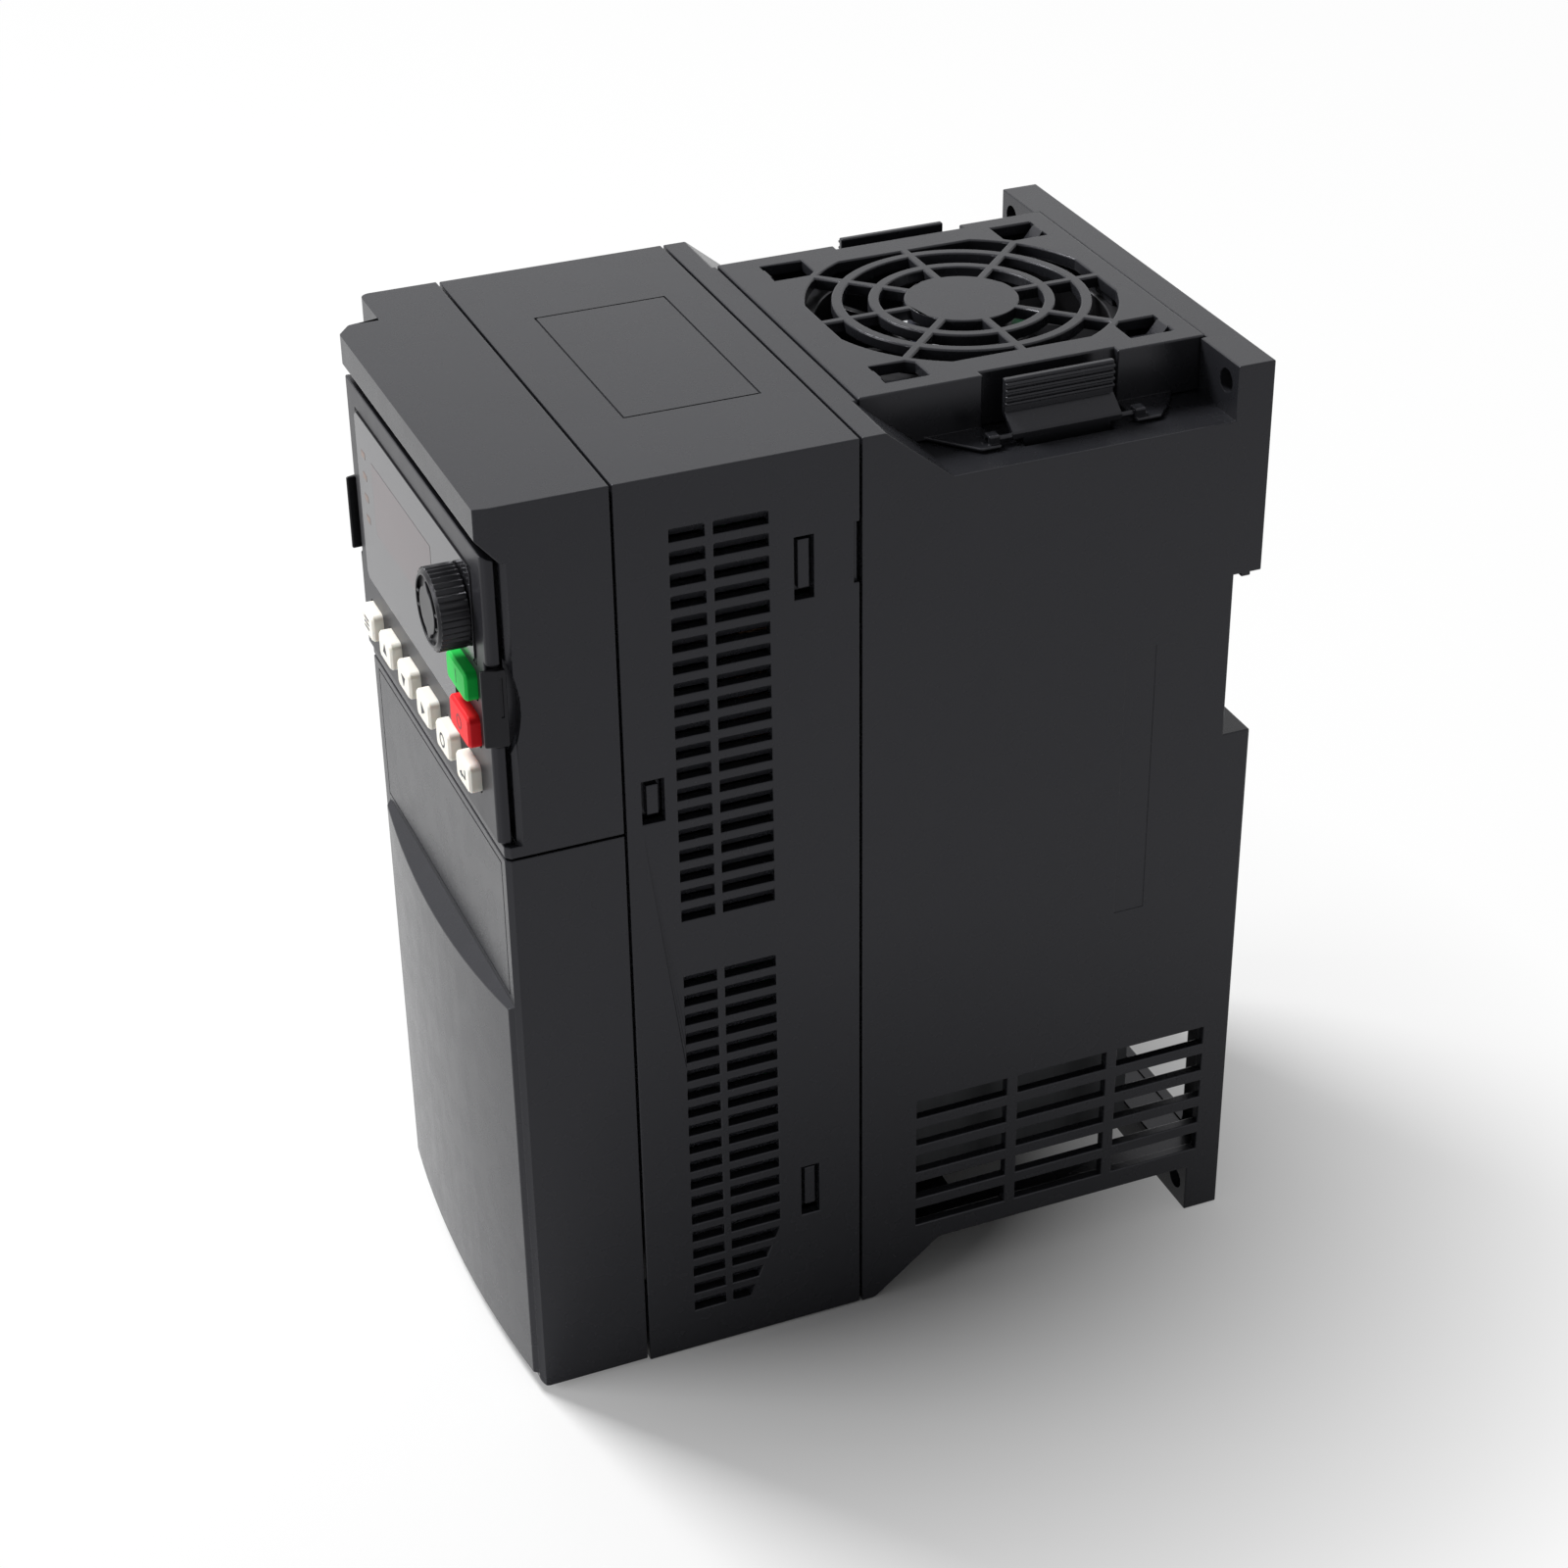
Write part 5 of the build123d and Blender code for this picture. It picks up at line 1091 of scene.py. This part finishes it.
@dataclass
class BoardParts(Assembly):
    """The small parts on the control board, sized and placed in millimetres.

    A place is across and up from the frame's own origin, on the board's front face.
    """

    coats: Dict[str, str] = field(default_factory=lambda: {
        "control_board": "green_board",
        "control_terminals": "terminal_green",
        "keypad_socket": "module_black",
    })
    leg: Point = (0.4, 1.3, 0.35)       # width in pitches, length, thickness
    processor: Package = Package((14.0, 14.0, 1.5), 0.25, 7.5, 14, 0.85)
    processor_place: Pair = (-12.0, 106.0)
    dot_r: float = 0.7
    dot_off: float = 5.2                # from the processor's middle, left and up
    dot_proud: float = 0.03
    coupler: Package = Package((6.4, 4.6, 3.4), 0.3, 2.7, 2, 2.54)
    couplers: int = 7
    coupler_first: Pair = (-30.0, 74.0)
    coupler_pitch: float = 10.0
    cans: Tuple[Point, ...] = (     # across, up and radius
        (22.0, 92.0, 3.15), (30.0, 92.0, 3.15), (22.0, 101.0, 4.0),
        (32.0, 102.0, 4.0), (30.0, 138.0, 3.15), (22.0, 138.0, 2.5))
    can_tall: float = 6.2
    can_foot: Pair = (0.15, 0.8)        # how far it stands out, and its height
    can_rim: float = 0.6
    can_proud: float = 0.04             # of the bare top inside the rim
    can_soft: float = 0.35
    resistor_fields: Tuple[Tuple[float, float, int, int], ...] = (   # left, low, columns and rows
        (-36.0, 84.0, 8, 4), (4.0, 112.0, 5, 5), (-36.0, 126.0, 9, 3), (12.0, 122.0, 7, 2))
    field_pitch: Pair = (3.0, 2.4)
    resistor: Point = (1.5, 1.2, 0.5)
    resistor_cap: Point = (0.4, 1.25, 0.55)
    cap_off: float = 0.9
    crystal: Point = (11.0, 4.4, 3.4)
    crystal_place: Pair = (-12.0, 120.0)
    crystal_soft: float = 1.2
    driver: Package = Package((10.0, 4.0, 1.7), 0.2, 2.6, 8, 1.27)
    driver_places: Tuple[Pair, ...] = ((-32.0, 98.0), (-32.0, 112.0))
    header: Point = (26.0, 8.0, 1.4)
    header_place: Pair = (-24.0, 142.0)
    header_wall: Pair = (0.9, 5.6)      # thickness and height
    header_soft: float = 0.2
    pin: Point = (0.64, 0.64, 4.8)
    pins: int = 9
    pin_pitch: float = 2.54
    screw_half: float = 40.0
    screw_rises: Pair = (60.0, 150.0)
    screw_head: Pair = (2.9, 1.7)       # radius and height
    screw_soft: float = 0.6
    # the dark cross on each screw head is painted shade for the hollow of its slot
    cross_shade: Pair = (3.0, 0.7)           # length and width of one arm
    cross_shade_proud: float = 0.02
    front: float = field(init=False)
    body: str = field(init=False)

    def build(self) -> None:
        """Populate the board's front face."""
        self.front = -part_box("control_board")[0][1]
        self.body = body_of(self.frame["nodes"]["control_board"])[0]
        for step in (self.add_processor, self.add_couplers, self.add_cans, self.add_resistors,
                     self.add_crystal, self.add_drivers, self.add_header, self.add_screws):
            step()

    def at(self, x: float, z: float) -> Point:
        """Find a place on the board's front face.

        Args:
            x: millimetres across.
            z: millimetres up.

        Returns:
            The place on a bench that faces the front, in metres.
        """
        return (x * MM, z * MM, self.front)

    def block(self, bench: Bench, size: Point, place: Pair, coat: int = 0,
              soft: float = 0.0) -> None:
        """Stand a block on the board.

        Args:
            bench: the part's bench.
            size: width, height across the board, and depth.
            place: its middle.
            coat: material number.
            soft: radius of its edges.
        """
        bench.box((size[0] * MM, size[1] * MM, size[2] * MM), self.at(*place), coat, soft * MM)

    def disc(self, bench: Bench, radius: float, depth: float, place: Pair, coat: int = 0,
             soft: float = 0.0, segments: int = 28) -> None:
        """Stand a round block on the board.

        Args:
            bench: the part's bench.
            radius: its radius.
            depth: its depth.
            place: its middle.
            coat: material number.
            soft: radius of its edges.
            segments: number of sides.
        """
        bench.disc(radius * MM, depth * MM, self.at(*place), coat, soft * MM, segments)

    def rows(self, bench: Bench, package: Package, place: Pair, upright: bool = False) -> None:
        """Add the two rows of flat legs of a chip.

        Args:
            bench: the part's bench.
            package: the chip.
            place: its middle.
            upright: whether the rows stand left and right of it, and not above and below.
        """
        width, length, thick = self.leg
        for side in (-1, 1):
            for step in range(package.legs):
                along = (step - (package.legs - 1) / 2) * package.pitch
                out = side * package.row_off
                if upright:
                    self.block(bench, (length, width * package.pitch, thick),
                               (place[0] + out, place[1] + along), 1)
                else:
                    self.block(bench, (width * package.pitch, length, thick),
                               (place[0] + along, place[1] + out), 1)

    def chip(self, bench: Bench, package: Package, place: Pair) -> None:
        """Add a chip with legs above and below it.

        Args:
            bench: the part's bench.
            package: the chip.
            place: its middle.
        """
        self.block(bench, package.size, place, 0, package.soft)
        self.rows(bench, package, place)

    def add_processor(self) -> None:
        """Solder on the processor, with a dot at one corner and legs on its four sides."""
        bench = Bench.to_front()
        x, z = self.processor_place
        size = self.processor.size
        self.block(bench, size, (x, z), 0, self.processor.soft)
        self.disc(bench, self.dot_r, size[2] + self.dot_proud,
                  (x - self.dot_off, z + self.dot_off), 2, segments=24)
        self.rows(bench, self.processor, (x, z))
        self.rows(bench, self.processor, (x, z), upright=True)
        self.add("board_processor", bench, self.body, "dark_moulding",
                 ["module_black", "plated_steel", "label_dark"])

    def add_couplers(self) -> None:
        """Solder on the row of input couplers above the terminals."""
        bench = Bench.to_front()
        x, z = self.coupler_first
        for step in range(self.couplers):
            self.chip(bench, self.coupler, (x + step * self.coupler_pitch, z))
        self.add("board_couplers", bench, self.body, "dark_moulding",
                 ["module_black", "plated_steel"])

    def add_cans(self) -> None:
        """Solder on the small upright capacitors."""
        bench = Bench.to_front()
        for x, z, radius in self.cans:
            self.disc(bench, radius + self.can_foot[0], self.can_foot[1], (x, z), 2)
            self.disc(bench, radius, self.can_tall, (x, z), 0, self.can_soft)
            self.disc(bench, radius - self.can_rim, self.can_tall + self.can_proud, (x, z), 1)
        self.add("board_cans", bench, self.body, "capacitor_sleeve",
                 ["capacitor_sleeve", "plated_steel", "module_black"])

    def add_resistors(self) -> None:
        """Solder on the fields of chip resistors, each with its two end caps."""
        bench = Bench.to_front()
        for left, low, columns, rows in self.resistor_fields:
            for column in range(columns):
                for row in range(rows):
                    x = left + column * self.field_pitch[0]
                    z = low + row * self.field_pitch[1]
                    self.block(bench, self.resistor, (x, z))
                    for side in (-1, 1):
                        self.block(bench, self.resistor_cap, (x + side * self.cap_off, z), 1)
        self.add("board_resistors", bench, self.body, "dark_moulding",
                 ["module_black", "plated_steel"])

    def add_crystal(self) -> None:
        """Solder on the clock crystal above the processor."""
        bench = Bench.to_front()
        self.block(bench, self.crystal, self.crystal_place, 0, self.crystal_soft)
        self.add("board_crystal", bench, self.body, "steel", ["plated_steel"])

    def add_drivers(self) -> None:
        """Solder on the two gate drivers beside the processor."""
        bench = Bench.to_front()
        for place in self.driver_places:
            self.chip(bench, self.driver, place)
        self.add("board_drivers", bench, self.body, "dark_moulding",
                 ["module_black", "plated_steel"])

    def add_header(self) -> None:
        """Solder on the shrouded header that joins the boards."""
        bench = Bench.to_front()
        x, z = self.header_place
        wide, tall, _ = self.header
        wall, rise = self.header_wall
        soft = self.header_soft
        self.block(bench, self.header, (x, z), 0, soft)
        for side in (-1, 1):
            self.block(bench, (wide, wall, rise), (x, z + side * (tall - wall) / 2), 0, soft)
            self.block(bench, (wall, tall - 2 * wall, rise), (x + side * (wide - wall) / 2, z),
                       0, soft)
            for step in range(self.pins):
                across = (step - (self.pins - 1) / 2) * self.pin_pitch
                self.block(bench, self.pin, (x + across, z + side * self.pin_pitch / 2), 1)
        self.add("board_header", bench, self.body, "dark_moulding",
                 ["module_black", "sintered_bronze"])

    def add_screws(self) -> None:
        """Screw the board to its posts with four cross-head screws; the dark cross on each head
        is painted shade for its hollow slot.
        """
        bench = Bench.to_front()
        radius, tall = self.screw_head
        long, wide = self.cross_shade
        for x in (-self.screw_half, self.screw_half):
            for z in self.screw_rises:
                self.disc(bench, radius, tall, (x, z), 0, self.screw_soft)
                # a near-black cross just proud of the head: painted shade for the slot's hollow
                self.block(bench, (long, wide, tall + self.cross_shade_proud), (x, z), 1)
                self.block(bench, (wide, long, tall + self.cross_shade_proud), (x, z), 1)
        self.add("board_screws", bench, self.body, "steel", ["plated_steel", "gap_shade"])


@dataclass
class PowerStage(Assembly):
    """Heat sink, modules, boards and terminals inside the body."""

    coats: Dict[str, str] = field(default_factory=lambda: {
        # the heat sink's near-black metal is painted shade for the inside of the body
        "heat_sink": "cast_aluminium",
        "power_module": "module_black",
        "power_board": "green_board",
        "bus_capacitors": "capacitor_sleeve",
        "relays": "module_black",
        "transformer": "module_black",
        "filter_choke": "enamelled_wire",
        "power_terminals": "module_black",
        "power_screws": "plated_steel",
    })


# ---- Studio --------------------------------------------------------------------------


@dataclass(frozen=True)
class Softbox:
    """One rectangular studio lamp aimed at a point."""

    name: str
    place: Point
    target: Point
    size: Pair
    watts: float

    def build(self) -> bpy.types.Object:
        """Make the lamp.

        Returns:
            The lamp object.
        """
        data = bpy.data.lights.new(self.name, "AREA")
        data.shape = "RECTANGLE"
        data.size, data.size_y = self.size
        data.energy = self.watts
        lamp = bpy.data.objects.new(self.name, data)
        bpy.context.scene.collection.objects.link(lamp)
        aim = Vector(self.target) - Vector(self.place)
        lamp.matrix_world = (Matrix.Translation(self.place)
                             @ aim.to_track_quat("-Z", "Y").to_matrix().to_4x4())
        return lamp


@dataclass
class Studio:
    """Floor, background, lamps and camera."""

    floor_size: float = 8.0
    floor_drop: float = 0.2 * MM
    floor_white: float = 0.95
    floor_matt: Colour = (0.9, 0.9, 0.9, 1.0)
    shade_reach: Pair = (0.05, 0.2)     # the floor's own shade fades out between these
    white: Colour = (1.0, 1.0, 1.0, 1.0)
    ambient: float = 0.15
    azimuth: float = 67.97
    elevation: float = 31.2
    roll: float = -0.83
    camera_place: Point = (0.520523, -0.209236, 0.436955)
    lens: float = 73.37
    sensor: float = 36.0
    nearest: float = 0.01
    boxes: Tuple[Softbox, ...] = (
        Softbox("front_left_box", (-0.6, -0.38, 1.08), (0.0, 0.0, 0.1), (0.32, 0.32), 16.5),
        Softbox("front_fill_box", (-0.3, -1.25, 0.5), (0.0, 0.0, 0.1), (0.6, 0.6), 6.5),
    )

    def build_floor(self) -> None:
        """Lay a pale floor that keeps the drive's shadow and reads as white."""
        mesh = bpy.data.meshes.new("studio_floor")
        work = bmesh.new()
        bmesh.ops.create_grid(work, x_segments=1, y_segments=1, size=self.floor_size / 2)
        bmesh.ops.translate(work, verts=work.verts, vec=(0.0, 0.0, -self.floor_drop))
        work.to_mesh(mesh)
        work.free()
        floor = bpy.data.objects.new("studio_floor", mesh)
        bpy.context.scene.collection.objects.link(floor)
        sheet = NodeSheet.start("studio_white")
        matt = sheet.add("ShaderNodeBsdfDiffuse", Color=self.floor_matt)
        glow = sheet.add("ShaderNodeEmission", Color=self.white, Strength=1.0)
        reach = sheet.add("ShaderNodeVectorMath", operation="LENGTH")
        sheet.link(sheet.position(), reach.inputs[0])
        pale = sheet.spread(reach.outputs["Value"], 0.0, self.floor_white, *self.shade_reach)
        share = sheet.combine("MULTIPLY", sheet.seen_directly(), pale)
        blend = sheet.add("ShaderNodeMixShader")
        sheet.link(share, blend.inputs["Fac"])
        sheet.link(matt.outputs[0], blend.inputs[1])
        sheet.link(glow.outputs[0], blend.inputs[2])
        mesh.materials.append(sheet.finish(blend))

    def build_world(self) -> None:
        """Light the room evenly, with a white background to the camera and in gloss."""
        world = bpy.data.worlds.new("studio_room")
        bpy.context.scene.world = world
        sheet = NodeSheet.clear(world)
        back = sheet.add("ShaderNodeBackground", Color=self.white)
        sheet.link(sheet.spread(sheet.seen_directly(), self.ambient, 1.0),
                   back.inputs["Strength"])
        sheet.finish(back, "World")

    def build_camera(self) -> None:
        """Stand the camera where the drive shows its front, right side and top."""
        round_z = math.radians(self.azimuth)
        rise = math.radians(self.elevation)
        tilt = math.radians(self.roll)
        back = Vector((math.sin(round_z) * math.cos(rise), -math.cos(round_z) * math.cos(rise),
                       math.sin(rise)))
        right = Vector((math.cos(round_z), math.sin(round_z), 0.0))
        up = back.cross(right)
        rolled_right = math.cos(tilt) * right + math.sin(tilt) * up
        rolled_up = math.cos(tilt) * up - math.sin(tilt) * right
        data = bpy.data.cameras.new("studio_camera")
        data.lens = self.lens
        data.sensor_width = self.sensor
        data.clip_start = self.nearest
        camera = bpy.data.objects.new("studio_camera", data)
        bpy.context.scene.collection.objects.link(camera)
        turn = Matrix((rolled_right, rolled_up, back)).transposed().to_4x4()
        camera.matrix_world = Matrix.Translation(self.camera_place) @ turn
        bpy.context.scene.camera = camera

    def build(self) -> None:
        """Set up the whole studio."""
        bpy.context.scene.view_settings.view_transform = "Standard"
        self.build_floor()
        self.build_world()
        self.build_camera()
        for box in self.boxes:
            box.build()


def main() -> None:
    """Dress the frame, add the fine detail and set up the studio."""
    logging.basicConfig(level=logging.INFO)
    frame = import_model()
    finishes = Finishes()
    for group in (Shells, Keypad, FanUnit, BoardParts, PowerStage):
        assembly = group(frame, finishes)
        assembly.dress()
        assembly.build()
        log.info("%s done", group.__name__)
    Studio().build()


if __name__ == "__main__":
    main()
